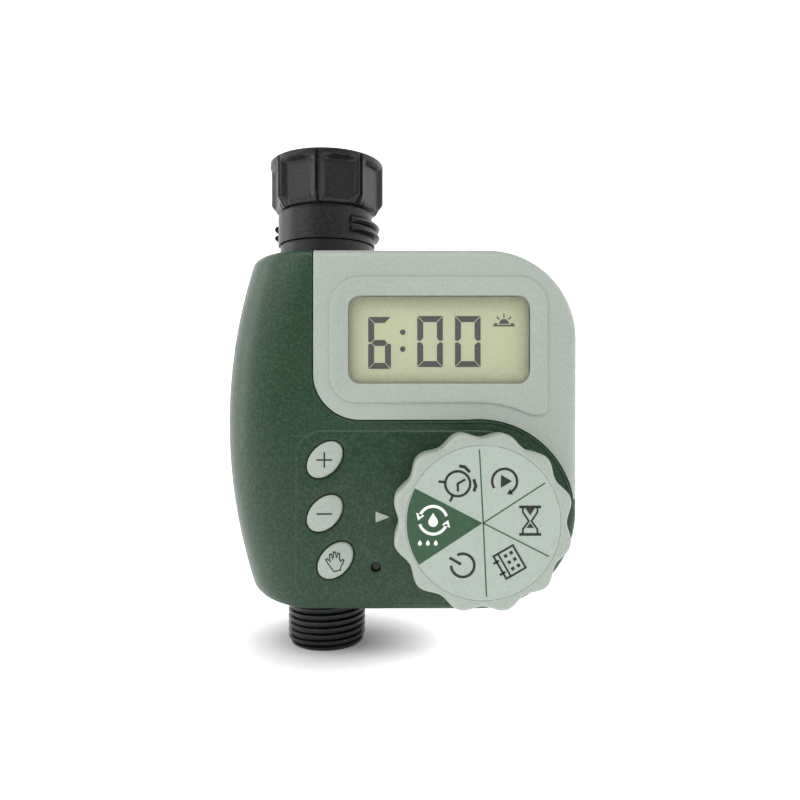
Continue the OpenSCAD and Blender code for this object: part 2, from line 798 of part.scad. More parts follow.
module pcb_screws() {
    color(steel) for (s = pcb_screw_spots) screw_y(s, pcb_y + pcb_t, 5, 2.4, 1.4);
}

module controller_chip() {
    chip_y = pcb_y + pcb_t;
    color([0.08, 0.08, 0.09]) union() {
        block(40, 52, chip_y + 0.25, chip_y + 2, -66, -54);
        for (i = [0:7]) {
            block(38.6, 53.4, chip_y, chip_y + 0.25 + eps, -65.4 + 1.5 * i, -64.9 + 1.5 * i);
        }
    }
}

module quartz_crystal() {
    crystal_y = pcb_y + pcb_t;
    color(steel) block(58, 62, crystal_y, crystal_y + 2, -58.5, -51.5);
}

module storage_capacitor() {
    cap_y = pcb_y + pcb_t;
    color([0.12, 0.15, 0.3]) union() {
        rod_y(30, -54, 4, cap_y + 0.5, cap_y + 9.5);
        for (x = [28.8, 31.2]) rod_y(x, -54, 0.3, cap_y, cap_y + 1);
    }
}

module wire_connector() {
    plug_y = pcb_y + pcb_t;
    color([0.9, 0.9, 0.85]) union() {
        block(17.3, 23.3, plug_y, plug_y + 4, -66.4, -58.6);
        block(30, 38, plug_y, plug_y + 4, -93.4, -88.6);
    }
}

module keypad() {
    color([0.75, 0.75, 0.72]) difference() {
        union() {
            prism(pcb_y - mat_t, pcb_y) even_field(-4.5, 22, -141, -99, 2);
            for (s = concat(button_spots, [reset_spot])) rod_y(s[0], s[1], 3.2, pcb_y - 2.4, pcb_y - mat_t / 2);
        }
        for (s = concat(button_spots, [reset_spot]))
            rod_y(s[0], s[1], stem_r + 0.4, pcb_y - 3, pcb_y - mat_t);
    }
}

module pointer_mark() {
    color(light_grey) prism(front_y - panel_h - 0.3, front_y - panel_h) translate(pointer_spot)
        difference() {
            polygon([[0, 1.75], [0, -1.75], [4.6, 0]]);
            translate([4.2, -1]) square([1, 2]);
        }
}

// ---- controls ----

module button(spot) {
    color(light_grey) translate([spot[0], 0, spot[1]]) union() {
        intersection() {
            prism(button_top, panel_back_y + 0.4) oval(button_a, button_b);
            translate([0, button_top + crown_r, 0]) sphere(crown_r, $fn = 300);
        }
        prism(panel_back_y + 0.3, panel_back_y + 1.1) oval(button_a + 1.2, button_b + 1.2);
        rod_y(0, 0, stem_r, panel_back_y + 0.5, stem_end);
    }
}

module plus_button() {
    button(button_spots[0]);
}

module minus_button() {
    button(button_spots[1]);
}

module manual_button() {
    button(button_spots[2]);
}

module reset_button() {
    color([0.2, 0.22, 0.2]) union() {
        rod_y(reset_spot[0], reset_spot[1], 1.2, front_y + 1.1, stem_end);
        rod_y(reset_spot[0], reset_spot[1], 2.3, panel_back_y + 0.05, panel_back_y + 0.8);
    }
}

// Lobed outline of the dial, moved in by o
module lobed(o) {
    half = 180 / dial_lobes;
    valley_r = dial_r - 2.1;
    chord = valley_r * sin(half);
    rise = dial_r - valley_r * cos(half);
    lobe_r = (chord * chord + rise * rise) / (2 * rise);
    union() {
        circle(valley_r * cos(half) - o);
        for (i = [0:dial_lobes - 1]) rotate(half + i * 2 * half)
            translate([dial_r - lobe_r, 0]) circle(lobe_r - o);
    }
}

module dial_knob() {
    base_y = front_y - dial_gap;
    color(light_grey) difference() {
        intersection() {
            translate([dial_x, 0, dial_z]) prism(dial_y, base_y) lobed(0);
            translate([dial_x, base_y, dial_z]) rotate([90, 0, 0]) rotate_extrude() difference() {
                square([dial_r + 1, dial_h - dial_gap]);
                translate([dial_r - 1.2, dial_h - dial_gap - 1.8]) difference() {
                    square([4, 4]);
                    circle(1.8);
                }
            }
        }
        difference() {
            translate([dial_x, 0, dial_z]) prism(dial_y + 2.4, base_y + 1) lobed(2.4);
            rod_y(dial_x, dial_z, 6, dial_y, base_y - 1);
            for (a = [0:60:120]) translate([dial_x, dial_y + 4, dial_z]) rotate([0, a, 0])
                block(-dial_r, dial_r, -2.4, 3, -0.7, 0.7);
        }
        rod_y(dial_x, dial_z, shaft_r + 0.02, dial_y + 3, base_y + 1);
        rod_y(dial_x, dial_z, label_r + 0.1, dial_y - 1, dial_y + label_t);
    }
}

module dial_label() {
    color(light_grey) rod_y(dial_x, dial_z, label_r, dial_y, dial_y + label_t);
}

module dial_shaft() {
    color(steel) difference() {
        rod_y(dial_x, dial_z, shaft_r, dial_y + 3.05, pcb_y + pcb_t + 1.5);
        ring_y(dial_x, dial_z, 2.4, 5, clip_y, clip_y + 0.75);
    }
}

module dial_clip() {
    color(steel) difference() {
        rod_y(dial_x, dial_z, 5, clip_y + 0.05, clip_y + 0.7);
        rod_y(dial_x, dial_z, 2.42, clip_y - 1, clip_y + 2);
        block(dial_x - 1.9, dial_x + 1.9, clip_y - 1, clip_y + 2, dial_z, dial_z + 9);
    }
}

// A wheel whose notches hold the dial at each of its stations
module detent_wheel() {
    wheel_y = pcb_y + pcb_t + 0.4;
    color([0.9, 0.9, 0.85]) difference() {
        rod_y(dial_x, dial_z, 12, wheel_y, wheel_y + 2.4);
        for (i = [0:dial_lobes - 1]) translate([dial_x, 0, dial_z]) rotate([0, i * 360 / dial_lobes, 0])
            rod_y(12.6, 0, 1.9, wheel_y - 1, wheel_y + 4);
        rod_y(dial_x, dial_z, shaft_r + 0.01, wheel_y - 1, wheel_y + 1.1);
    }
}

module dial_wiper() {
    color([0.8, 0.65, 0.35]) difference() {
        ring_y(dial_x, dial_z, 4, 9.5, pcb_y + pcb_t + 0.1, pcb_y + pcb_t + 0.38);
        for (a = [0:120:240]) translate([dial_x, pcb_y + pcb_t, dial_z]) rotate([0, a, 0])
            block(5, 8.6, -1, 2, -3, 3);
    }
}

// A leaf spring that follows the detent wheel
module detent_spring() {
    leaf_y = pcb_y + pcb_t;
    color(steel) union() {
        block(dial_x - 14, dial_x + 14, leaf_y + 0.6, leaf_y + 2.6, dial_z - 13.7, dial_z - 13.4);
        block(dial_x - 15, dial_x - 13.9, leaf_y, leaf_y + 3, dial_z - 15, dial_z - 12.4);
        block(dial_x + 13.9, dial_x + 15, leaf_y, leaf_y + 3, dial_z - 15, dial_z - 12.4);
    }
}

// ---- batteries ----

// Everything to the right of the case's leaning right side, moved out by g
module beyond_right_side(g) {
    translate([corner_x, 0, corner_z]) rotate([0, -right_lean, 0]) translate([corner_r + g, -far, -far])
        cube(2 * far);
}

module battery_bay() {
    color(black) difference() {
        block(bay_x0, far, bay_y0, bay_y1, bay_z0, bay_z1);
        beyond_right_side(-0.6);
        block(bay_x0 + bay_wall, far, bay_y0 + bay_wall, bay_y1 - bay_wall,
            bay_z0 + bay_wall, bay_z1 - bay_wall);
    }
}

module battery_drawer() {
    color(green) difference() {
        block(bay_x0 + 2, far, drawer_y0, drawer_y1, drawer_z0, drawer_z1);
        beyond_right_side(0);
        block(bay_x0 + 1, 79.6, drawer_y0 + drawer_wall, drawer_y1 + 1,
            drawer_z0 + drawer_wall, drawer_z1 - drawer_wall);
        for (z = [0.25, 0.75]) translate([81.5, 0, drawer_z0 + z * (drawer_z1 - drawer_z0)])
            block(0, 5, drawer_y0 + 4, drawer_y1 - 4, -0.6, 0.6);
        drawer_groove(0);
    }
}

// The groove round the drawer's head that holds its seal
module drawer_groove(lift) {
    difference() {
        block(80 + lift, 80.9 - lift, drawer_y0 - 0.2, drawer_y1 + 0.2, drawer_z0 - 0.2, drawer_z1 + 0.2);
        block(79, 82, drawer_y0 + 0.6, drawer_y1 - 0.6, drawer_z0 + 0.6, drawer_z1 - 0.6);
    }
}

module drawer_seal() {
    color([0.1, 0.1, 0.1]) intersection() {
        drawer_groove(0.05);
        block(79, 82, drawer_y0 - 0.15, drawer_y1 + 0.15, drawer_z0 - 0.15, drawer_z1 + 0.15);
    }
}

function cell_spot(k) = [(bay_y0 + bay_y1) / 2, (bay_z0 + bay_z1) / 2 + (k - 0.5) * cell_pitch];

// Two AA cells side by side, one with its nub to the left and one with its nub to the right
module battery_cells() {
    color([0.15, 0.15, 0.16]) for (k = [0, 1])
        let(s = cell_spot(k), x0 = bridge_x - 0.1 - cell_len - k * nub_len) union() {
            rod_x(s[0] + 0.4, s[1], cell_r, x0, x0 + cell_len);
            rod_x(s[0] + 0.4, s[1], 2.6, x0 - (1 - k) * nub_len, x0 + cell_len + k * nub_len);
        }
}

// The strip that joins the two cells behind the drawer's head
module bridge_plate() {
    color(steel) block(bridge_x, bridge_x + 0.5, cell_spot(0)[0] - 3, cell_spot(0)[0] + 4,
        cell_spot(0)[1] - 5, cell_spot(1)[1] + 5);
}

module battery_springs() {
    x = bay_x0 + bay_wall;
    color(steel) for (k = [0, 1]) translate([x + 0.1, cell_spot(k)[0] + 0.4, cell_spot(k)[1]])
        rotate([0, 90, 0]) coil(3.4, 0.3, 1.55, 1);
}

// Two insulated wires from the bay's springs to the circuit board's connector
module battery_wires() {
    color([0.6, 0.1, 0.1]) for (k = [0, 1]) let(x0 = bay_x0 - 1.4, x1 = 33 + 2.4 * k, z = -90 - 2 * k)
        wire([[x0, 13, z], [x0, 3, z], [x0 + 1, 2, z], [x1 - 1, 2, z], [x1, 1, z],
            [x1, pcb_y + pcb_t + 4, z]]);
}

front_cover();
display_cover();
rear_cover();
case_gasket();
case_screws();
valve_body();
coupling_retainer();
inlet_washer();
filter_screen();
diaphragm();
bonnet();
bonnet_screws();
solenoid_tube();
solenoid_bobbin();
solenoid_coil();
solenoid_frame();
solenoid_wires();
lcd_lens();
lcd_segments();
lcd_glass();
lcd_holder();
zebra_strip();
keypad();
main_pcb();
pcb_screws();
controller_chip();
quartz_crystal();
storage_capacitor();
wire_connector();
pointer_mark();
detent_spring();
battery_bay();
battery_springs();
battery_wires();
inlet_coupling();
dial_knob();
dial_label();
dial_shaft();
dial_clip();
detent_wheel();
dial_wiper();
plus_button();
minus_button();
manual_button();
reset_button();
battery_drawer();
drawer_seal();
battery_cells();
bridge_plate();
valve_disc();
diaphragm_spring();
solenoid_plunger();
plunger_seal();
plunger_spring();
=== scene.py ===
"""Hose-tap watering timer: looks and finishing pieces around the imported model."""

import math

import bmesh
import bpy
import numpy as np
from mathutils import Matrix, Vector


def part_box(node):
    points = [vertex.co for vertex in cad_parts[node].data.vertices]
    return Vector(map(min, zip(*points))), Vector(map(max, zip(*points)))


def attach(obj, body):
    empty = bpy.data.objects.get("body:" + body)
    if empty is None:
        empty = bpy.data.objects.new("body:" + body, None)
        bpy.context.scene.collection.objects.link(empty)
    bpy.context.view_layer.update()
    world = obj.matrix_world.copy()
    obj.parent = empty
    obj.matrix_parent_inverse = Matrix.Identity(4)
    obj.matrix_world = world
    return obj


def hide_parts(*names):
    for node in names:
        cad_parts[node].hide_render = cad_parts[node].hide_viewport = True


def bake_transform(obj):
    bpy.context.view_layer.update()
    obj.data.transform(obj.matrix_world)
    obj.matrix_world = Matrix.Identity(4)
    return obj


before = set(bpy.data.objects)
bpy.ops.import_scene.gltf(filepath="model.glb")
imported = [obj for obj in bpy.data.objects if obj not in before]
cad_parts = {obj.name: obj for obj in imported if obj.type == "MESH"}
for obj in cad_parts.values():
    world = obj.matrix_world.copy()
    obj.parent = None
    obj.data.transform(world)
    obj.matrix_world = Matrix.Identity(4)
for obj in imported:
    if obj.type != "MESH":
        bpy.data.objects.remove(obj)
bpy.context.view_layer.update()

# Sizes and places are in millimetres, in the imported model's axes; MM turns them into metres.
MM = 0.001
CASE_FRONT_Y = -24.0
PANEL_Y = -24.45
LCD_Y = -20.5
# X and Z of the dial's axis, its face, and the gap behind it.
DIAL = (51.1, -120.25)
DIAL_FACE_Y = -37.0
DIAL_GAP = 0.8
WAVES = 12
# X and Z of each oval button, and the ovals' half lengths, tilt, top and crown radius.
BUTTONS = {"plus": (1.8, -102.1), "minus": (1.8, -119.3), "manual": (5.2, -134.4)}
BUTTON_A, BUTTON_B = 6.8, 4.6
BUTTON_TILT = math.radians(47)
BUTTON_TOP_Y = -26.0
BUTTON_GAP = 0.35
CROWN_R = 30.0
RESET_HOLE = (18.2, -136.7, 1.6)
SHAFT_HOLE_R = 3.1
# Left, right, bottom and top of the display window, and its corner radius.
WINDOW = (9.25, 67.75, -77.7, -49.4)
WINDOW_R = 3.7
# The frame round the window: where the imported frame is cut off, its edge radius, top and dish depth.
FRAME_CUT_Y = -24.0005
FRAME_EDGE = 0.75
FRAME_TOP_Y = -24.72
FRAME_DISH = 1.2
# The hose thread's pitch, and where the outlet below the case starts and ends.
PITCH = 2.209
OUTLET_TOP, OUTLET_BOTTOM = -151.15, -167.8
OUTLET_CUT = -151.25
FLOOR_Z = -167.85


# ---------------------------------------------------------------- node helpers

def linear(c):
    """A colour given in 0 to 255 as the linear values that shaders use."""
    out = []
    for v in c:
        v = v / 255
        out.append(v / 12.92 if v <= 0.04045 else ((v + 0.055) / 1.055) ** 2.4)
    return (*out, 1.0)


class Graph:
    """A material's node tree, built node by node."""

    def __init__(self, name):
        self.mat = bpy.data.materials.new(name)
        self.mat.use_nodes = True
        self.tree = self.mat.node_tree
        self.shader = self.tree.nodes["Principled BSDF"]
        self.out = self.tree.nodes["Material Output"]
        self.coords = self.add("ShaderNodeTexCoord").outputs["Object"]

    def add(self, kind, **settings):
        node = self.tree.nodes.new(kind)
        for key, value in settings.items():
            setattr(node, key, value)
        return node

    def put(self, socket, value):
        if isinstance(value, bpy.types.NodeSocket):
            self.tree.links.new(value, socket)
        else:
            socket.default_value = value

    def noise(self, scale, detail=3.0, rough=0.5, distortion=0.0, coords=None):
        node = self.add("ShaderNodeTexNoise")
        self.put(node.inputs["Vector"], coords or self.coords)
        node.inputs["Scale"].default_value = scale
        node.inputs["Detail"].default_value = detail
        node.inputs["Roughness"].default_value = rough
        node.inputs["Distortion"].default_value = distortion
        return node.outputs["Fac"]

    def stretched(self, scale):
        node = self.add("ShaderNodeMapping")
        self.put(node.inputs["Vector"], self.coords)
        node.inputs["Scale"].default_value = scale
        return node.outputs["Vector"]

    def span(self, value, low, high, to_low=0.0, to_high=1.0):
        node = self.add("ShaderNodeMapRange")
        self.put(node.inputs["Value"], value)
        node.inputs["From Min"].default_value = low
        node.inputs["From Max"].default_value = high
        node.inputs["To Min"].default_value = to_low
        node.inputs["To Max"].default_value = to_high
        return node.outputs["Result"]

    def mix(self, factor, a, b, blend="MIX"):
        node = self.add("ShaderNodeMix", data_type="RGBA", blend_type=blend)
        self.put(node.inputs["Factor"], factor)
        self.put(node.inputs[6], a)
        self.put(node.inputs[7], b)
        return node.outputs[2]

    def math(self, operation, a, b=0.0):
        node = self.add("ShaderNodeMath", operation=operation)
        self.put(node.inputs[0], a)
        self.put(node.inputs[1], b)
        return node.outputs[0]

    def rounded(self, radius):
        """The surface normal with its edges rounded, and how close a point is to an edge."""
        bevel = self.add("ShaderNodeBevel", samples=6)
        bevel.inputs["Radius"].default_value = radius
        geometry = self.add("ShaderNodeNewGeometry")
        dot = self.add("ShaderNodeVectorMath", operation="DOT_PRODUCT")
        self.put(dot.inputs[0], bevel.outputs["Normal"])
        self.put(dot.inputs[1], geometry.outputs["Normal"])
        edge = self.span(dot.outputs["Value"], 0.99, 0.8)
        return bevel.outputs["Normal"], edge

    def bump(self, height, distance, strength=1.0, normal=None):
        node = self.add("ShaderNodeBump")
        node.inputs["Strength"].default_value = strength
        node.inputs["Distance"].default_value = distance
        self.put(node.inputs["Height"], height)
        if normal is not None:
            self.put(node.inputs["Normal"], normal)
        return node.outputs["Normal"]

    def finish(self, **sockets):
        for name, value in sockets.items():
            self.put(self.shader.inputs[name.replace("_", " ")], value)
        return self.mat


# ---------------------------------------------------------------- materials

def moulded(name, light, dark, rough, grain, edge_light, edge_r=0.00035, grain_scale=2600):
    """Moulded plastic with a fine spark-eroded grain, faint flow clouds and worn edges."""
    g = Graph(name)
    normal, edge = g.rounded(edge_r)
    clouds = g.span(g.noise(22, 4, 0.55, 0.4), 0.3, 0.7)
    body = g.mix(clouds, linear(dark), linear(light))
    speck = g.span(g.noise(grain_scale * 0.45, 2), 0.42, 0.72)
    body = g.mix(g.math("MULTIPLY", speck, 0.1), body, linear(edge_light))
    scuffs = g.span(g.noise(160, 5, 0.7), 0.45, 0.75)
    worn = g.math("MULTIPLY", g.math("MULTIPLY", edge, scuffs), 0.55)
    body = g.mix(worn, body, linear(edge_light))
    fine = g.noise(grain_scale, 2, 0.6)
    coarse = g.noise(grain_scale * 0.3, 2, 0.5)
    height = g.math("ADD", fine, g.math("MULTIPLY", coarse, 0.6))
    roughness = g.span(g.noise(420, 4, 0.6), 0.3, 0.7, rough - 0.05, rough + 0.07)
    return g.finish(
        Base_Color=body, Roughness=roughness, Normal=g.bump(height, grain, 0.7, normal),
        Specular_IOR_Level=0.35)


def green_plastic():
    return moulded("green_plastic", (20, 54, 30), (16, 47, 25), 0.34, 0.00003, (120, 150, 128))


def grey_plastic():
    return moulded("grey_plastic", (156, 165, 156), (150, 159, 150), 0.4, 0.00002, (226, 231, 226))


def dial_face():
    return moulded("dial_face", (160, 171, 162), (155, 166, 157), 0.46, 0.00001, (220, 226, 220))


def black_plastic():
    return moulded("black_plastic", (10, 11, 11), (6, 7, 7), 0.34, 0.00003, (90, 93, 91))


def dark_button():
    return moulded("dark_button", (46, 54, 48), (36, 44, 38), 0.45, 0.00002, (90, 98, 92))


def white_plastic():
    return moulded("white_plastic", (226, 225, 218), (215, 214, 206), 0.42, 0.00002, (240, 240, 235))


def strainer_plastic():
    return moulded("strainer_plastic", (74, 88, 82), (60, 72, 67), 0.5, 0.00003, (130, 140, 135))


def chip_plastic():
    return moulded("chip_plastic", (34, 34, 36), (26, 26, 28), 0.55, 0.00002, (70, 70, 72), 0.0001)


def rubber(name="rubber", light=(38, 38, 39), dark=(29, 29, 30)):
    """Soft rubber: matt, with a dusty bloom and a coarser grain."""
    g = Graph(name)
    normal = g.rounded(0.0003)[0]
    bloom = g.span(g.noise(90, 5, 0.65), 0.4, 0.75)
    body = g.mix(bloom, linear(dark), linear(light))
    height = g.noise(1500, 3, 0.6)
    roughness = g.span(g.noise(300, 3), 0.3, 0.7, 0.7, 0.85)
    return g.finish(Base_Color=body, Roughness=roughness, Normal=g.bump(height, 0.00004, 0.6, normal),
                    Sheen_Weight=0.15)


def keypad_rubber():
    return rubber("keypad_rubber", (196, 196, 190), (182, 182, 176))


def metal(name, light, dark, rough, lines=(30, 900, 900)):
    """Drawn or turned metal with fine lines along one way and dull patches."""
    g = Graph(name)
    normal = g.rounded(0.00015)[0]
    drawn = g.noise(1.0, 3, 0.6, coords=g.stretched(lines))
    patches = g.noise(120, 4, 0.6)
    body = g.mix(g.span(patches, 0.35, 0.7), linear(dark), linear(light))
    both = g.math("ADD", g.math("MULTIPLY", drawn, 0.6), g.math("MULTIPLY", patches, 0.4))
    roughness = g.span(both, 0.3, 0.7, rough - 0.08, rough + 0.12)
    return g.finish(Base_Color=body, Roughness=roughness, Metallic=1.0,
                    Normal=g.bump(drawn, 0.00001, 0.5, normal))


def steel():
    return metal("steel", (200, 201, 203), (168, 170, 173), 0.3)


def brass():
    return metal("brass", (205, 178, 108), (180, 150, 84), 0.32)


def copper_winding():
    """Enamelled wire wound side by side along X, darker with painted shade in the grooves between turns."""
    g = Graph("copper_winding")
    wave = g.add("ShaderNodeTexWave", wave_type="BANDS", bands_direction="X", wave_profile="SIN")
    g.put(wave.inputs["Vector"], g.coords)
    wave.inputs["Scale"].default_value = 1500
    wave.inputs["Distortion"].default_value = 0.6
    wave.inputs["Detail"].default_value = 1
    turns = wave.outputs["Fac"]
    # Painted shade: the colour darkens in the grooves between turns.
    body = g.mix(turns, linear((92, 42, 18)), linear((196, 108, 52)))
    roughness = g.span(g.noise(500), 0.3, 0.7, 0.25, 0.42)
    return g.finish(Base_Color=body, Roughness=roughness, Metallic=0.8, Normal=g.bump(turns, 0.00008))


def clear_window():
    """A thin clear window: mostly see-through, with a faint tint and gloss."""
    g = Graph("clear_window")
    smear = g.span(g.noise(60, 4, 0.6), 0.35, 0.75, 0.03, 0.09)
    g.mat.blend_method = "BLEND"
    return g.finish(Base_Color=(0.5, 0.55, 0.5, 1), Roughness=smear, Alpha=0.06,
                    Specular_IOR_Level=0.6, Coat_Weight=0.3, Coat_Roughness=0.05)


def display_face():
    """The reflector behind the liquid crystal: warm grey-green, slightly darker towards its edge, where
    painted shade stands in for the window bezel's shadow.
    """
    g = Graph("display_face")
    separate = g.add("ShaderNodeSeparateXYZ")
    g.put(separate.inputs[0], g.coords)
    across = g.math("ABSOLUTE", g.math("SUBTRACT", separate.outputs["X"], 0.0385))
    up = g.math("ABSOLUTE", g.math("ADD", separate.outputs["Z"], 0.06355))
    side = g.span(across, 0.024, 0.031)
    level = g.span(up, 0.0095, 0.0155)
    # Painted shade: darker towards the reflector's edge, as if shaded by the window's bezel.
    shade = g.math("MAXIMUM", side, level)
    body = g.mix(shade, linear((176, 179, 142)), linear((153, 155, 122)))
    grain = g.span(g.noise(900, 3), 0.35, 0.7)
    body = g.mix(g.math("MULTIPLY", grain, 0.12), body, linear((222, 223, 196)))
    roughness = g.span(g.noise(500), 0.3, 0.7, 0.45, 0.6)
    return g.finish(Base_Color=body, Roughness=roughness, Normal=g.bump(grain, 0.00001, 0.4))


def display_ink():
    g = Graph("display_ink")
    body = g.mix(g.span(g.noise(600, 3), 0.3, 0.7), linear((16, 17, 12)), linear((24, 25, 18)))
    return g.finish(Base_Color=body, Roughness=g.span(g.noise(400), 0.3, 0.7, 0.4, 0.55))


def circuit_board():
    """Green solder mask over copper tracks, with a scatter of small pads."""
    g = Graph("circuit_board")
    brick = g.add("ShaderNodeTexBrick", offset=0.5, squash=1.6, squash_frequency=3)
    turned = g.add("ShaderNodeMapping")
    g.put(turned.inputs["Vector"], g.coords)
    turned.inputs["Rotation"].default_value = (math.radians(90), 0, 0)
    g.put(brick.inputs["Vector"], turned.outputs["Vector"])
    brick.inputs["Scale"].default_value = 150
    brick.inputs["Mortar Size"].default_value = 0.035
    brick.inputs["Mortar Smooth"].default_value = 0.1
    tracks = brick.outputs["Fac"]
    mask = g.mix(tracks, linear((18, 74, 44)), linear((40, 112, 66)))
    dots = g.add("ShaderNodeTexVoronoi")
    g.put(dots.inputs["Vector"], g.coords)
    dots.inputs["Scale"].default_value = 260
    pads = g.span(dots.outputs["Distance"], 0.2, 0.16)
    body = g.mix(pads, mask, linear((196, 190, 170)))
    roughness = g.span(g.noise(300), 0.3, 0.7, 0.3, 0.42)
    return g.finish(Base_Color=body, Roughness=roughness, Normal=g.bump(tracks, 0.00003))


def capacitor_sleeve():
    g = Graph("capacitor_sleeve")
    normal = g.rounded(0.0003)[0]
    stripe = g.add("ShaderNodeTexWave", bands_direction="X")
    g.put(stripe.inputs["Vector"], g.coords)
    stripe.inputs["Scale"].default_value = 60
    mark = g.span(stripe.outputs["Fac"], 0.86, 0.9)
    body = g.mix(mark, linear((36, 44, 92)), linear((188, 192, 206)))
    roughness = g.span(g.noise(260), 0.3, 0.7, 0.28, 0.4)
    return g.finish(Base_Color=body, Roughness=roughness, Normal=g.bump(g.noise(900), 0.00002, 0.5, normal))


def wire_insulation():
    g = Graph("wire_insulation")
    body = g.mix(g.span(g.noise(200, 4), 0.3, 0.7), linear((150, 26, 24)), linear((172, 38, 32)))
    roughness = g.span(g.noise(300), 0.3, 0.7, 0.38, 0.5)
    return g.finish(Base_Color=body, Roughness=roughness, Normal=g.bump(g.noise(1200), 0.00002, 0.5))


def battery_skin():
    """A printed foil sleeve: dark with a metallic band at the nub end."""
    g = Graph("battery_skin")
    separate = g.add("ShaderNodeSeparateXYZ")
    g.put(separate.inputs[0], g.coords)
    band = g.span(separate.outputs["X"], 0.0655, 0.0658)
    body = g.mix(band, linear((46, 47, 50)), linear((188, 122, 62)))
    fleck = g.span(g.noise(1400, 3), 0.4, 0.75)
    body = g.mix(g.math("MULTIPLY", fleck, 0.15), body, linear((220, 220, 222)))
    roughness = g.span(g.noise(240, 4), 0.3, 0.7, 0.24, 0.38)
    return g.finish(Base_Color=body, Roughness=roughness, Metallic=0.6,
                    Normal=g.bump(g.noise(700), 0.00001, 0.5))


def print_ink(name, light, dark):
    """Screen-printed ink, very slightly uneven."""
    g = Graph(name)
    body = g.mix(g.span(g.noise(700, 4, 0.6), 0.35, 0.7), linear(dark), linear(light))
    roughness = g.span(g.noise(500), 0.3, 0.7, 0.42, 0.56)
    return g.finish(Base_Color=body, Roughness=roughness, Normal=g.bump(g.noise(2400), 0.00001, 0.5))


SLOTS = {
    "green_plastic": green_plastic, "grey_plastic": grey_plastic, "dial_face": dial_face,
    "black_plastic": black_plastic, "rubber": rubber, "keypad_rubber": keypad_rubber,
    "steel": steel, "brass": brass, "copper_winding": copper_winding,
    "white_plastic": white_plastic, "strainer_plastic": strainer_plastic,
    "clear_window": clear_window, "display_face": display_face, "display_ink": display_ink,
    "circuit_board": circuit_board, "chip_plastic": chip_plastic,
    "capacitor_sleeve": capacitor_sleeve, "wire_insulation": wire_insulation,
    "dark_button": dark_button, "battery_skin": battery_skin,
}


# ---------------------------------------------------------------- mesh helpers

def make_object(name, points, faces, material, body, smooth=35):
    """A mesh object in millimetres that rides on a body, with shading sharp past an angle."""
    mesh = bpy.data.meshes.new(name)
    mesh.from_pydata([tuple(np.asarray(p, float) * MM) for p in points], [], faces)
    bm = bmesh.new()
    bm.from_mesh(mesh)
    bmesh.ops.remove_doubles(bm, verts=bm.verts, dist=1e-7)
    bmesh.ops.dissolve_degenerate(bm, edges=bm.edges, dist=1e-8)
    bmesh.ops.recalc_face_normals(bm, faces=bm.faces)
    bm.to_mesh(mesh)
    bm.free()
    mesh.shade_smooth()
    mesh.set_sharp_from_angle(angle=math.radians(smooth))
    mesh.materials.append(material)
    obj = bpy.data.objects.new(name, mesh)
    bpy.context.scene.collection.objects.link(obj)
    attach(obj, body)
    return obj


def skin(rings, closed=False):
    """Points and faces of a surface through rings of equal count; closed joins the last to the first."""
    m = len(rings)
    n = len(rings[0])
    points = [p for ring in rings for p in ring]
    faces = []
    for i in range(m if closed else m - 1):
        j = (i + 1) % m
        for k in range(n):
            q = (k + 1) % n
            faces.append((i * n + k, i * n + q, j * n + q, j * n + k))
    return points, faces


def turned(profile, count, centre, axis):
    """Rings round an axis; profile(angle) gives the (radius, level) pairs from one end to the other."""
    columns = [profile(2 * math.pi * k / count) for k in range(count)]
    rings = []
    for i in range(len(columns[0])):
        ring = []
        for k, column in enumerate(columns):
            a = 2 * math.pi * k / count
            r, h = column[i]
            if axis == "Z":
                ring.append((centre[0] + r * math.cos(a), centre[1] + r * math.sin(a), h))
            else:
                ring.append((centre[0] + r * math.cos(a), h, centre[1] + r * math.sin(a)))
        rings.append(ring)
    return rings


def fillet(x, y, r, start, end, steps=6):
    """Points of a quarter round: centre x, y and angles in degrees."""
    out = []
    for i in range(steps + 1):
        a = math.radians(start + (end - start) * i / steps)
        out.append((x + r * math.cos(a), y + r * math.sin(a)))
    return out


def smoothstep(t):
    t = min(max(t, 0.0), 1.0)
    return t * t * (3 - 2 * t)


# ---------------------------------------------------------------- flat graphics

def ribbon(points, width, closed=False):
    """A stroke of even width along a path, as points and quads."""
    n = len(points)
    sides = []
    for i, p in enumerate(points):
        a = points[i - 1] if (closed or i > 0) else p
        b = points[(i + 1) % n] if (closed or i < n - 1) else p
        d1 = Vector((p[0] - a[0], p[1] - a[1]))
        d2 = Vector((b[0] - p[0], b[1] - p[1]))
        d1 = d1.normalized() if d1.length > 1e-9 else d2.normalized()
        d2 = d2.normalized() if d2.length > 1e-9 else d1
        t = (d1 + d2).normalized()
        nrm = Vector((-t.y, t.x))
        grow = width / 2 / max(0.5, abs(nrm.dot(Vector((-d1.y, d1.x)))))
        extra = Vector((0, 0))
        if not closed and i == 0:
            extra = -t * width * 0.25
        if not closed and i == n - 1:
            extra = t * width * 0.25
        c = Vector(p) + extra
        sides.append((c + nrm * grow, c - nrm * grow))
    verts = [tuple(v) for pair in sides for v in pair]
    quads = []
    for i in range(n if closed else n - 1):
        j = (i + 1) % n
        quads.append((2 * i, 2 * i + 1, 2 * j + 1, 2 * j))
    return verts, quads


def blob(points):
    """A filled outline."""
    return list(points), [tuple(range(len(points)))]


def ring_points(x, y, r, start=0, end=360, steps=40):
    full = abs(end - start) >= 360
    count = steps if full else steps + 1
    return [(x + r * math.cos(math.radians(start + (end - start) * i / steps)),
             y + r * math.sin(math.radians(start + (end - start) * i / steps))) for i in range(count)]


def moved(shape, x, y, turn=0.0, size=1.0):
    """A shape turned by an angle in degrees, scaled, and moved."""
    verts, faces = shape
    c, s = math.cos(math.radians(turn)), math.sin(math.radians(turn))
    return [(x + size * (c * u - s * v), y + size * (s * u + c * v)) for u, v in verts], faces


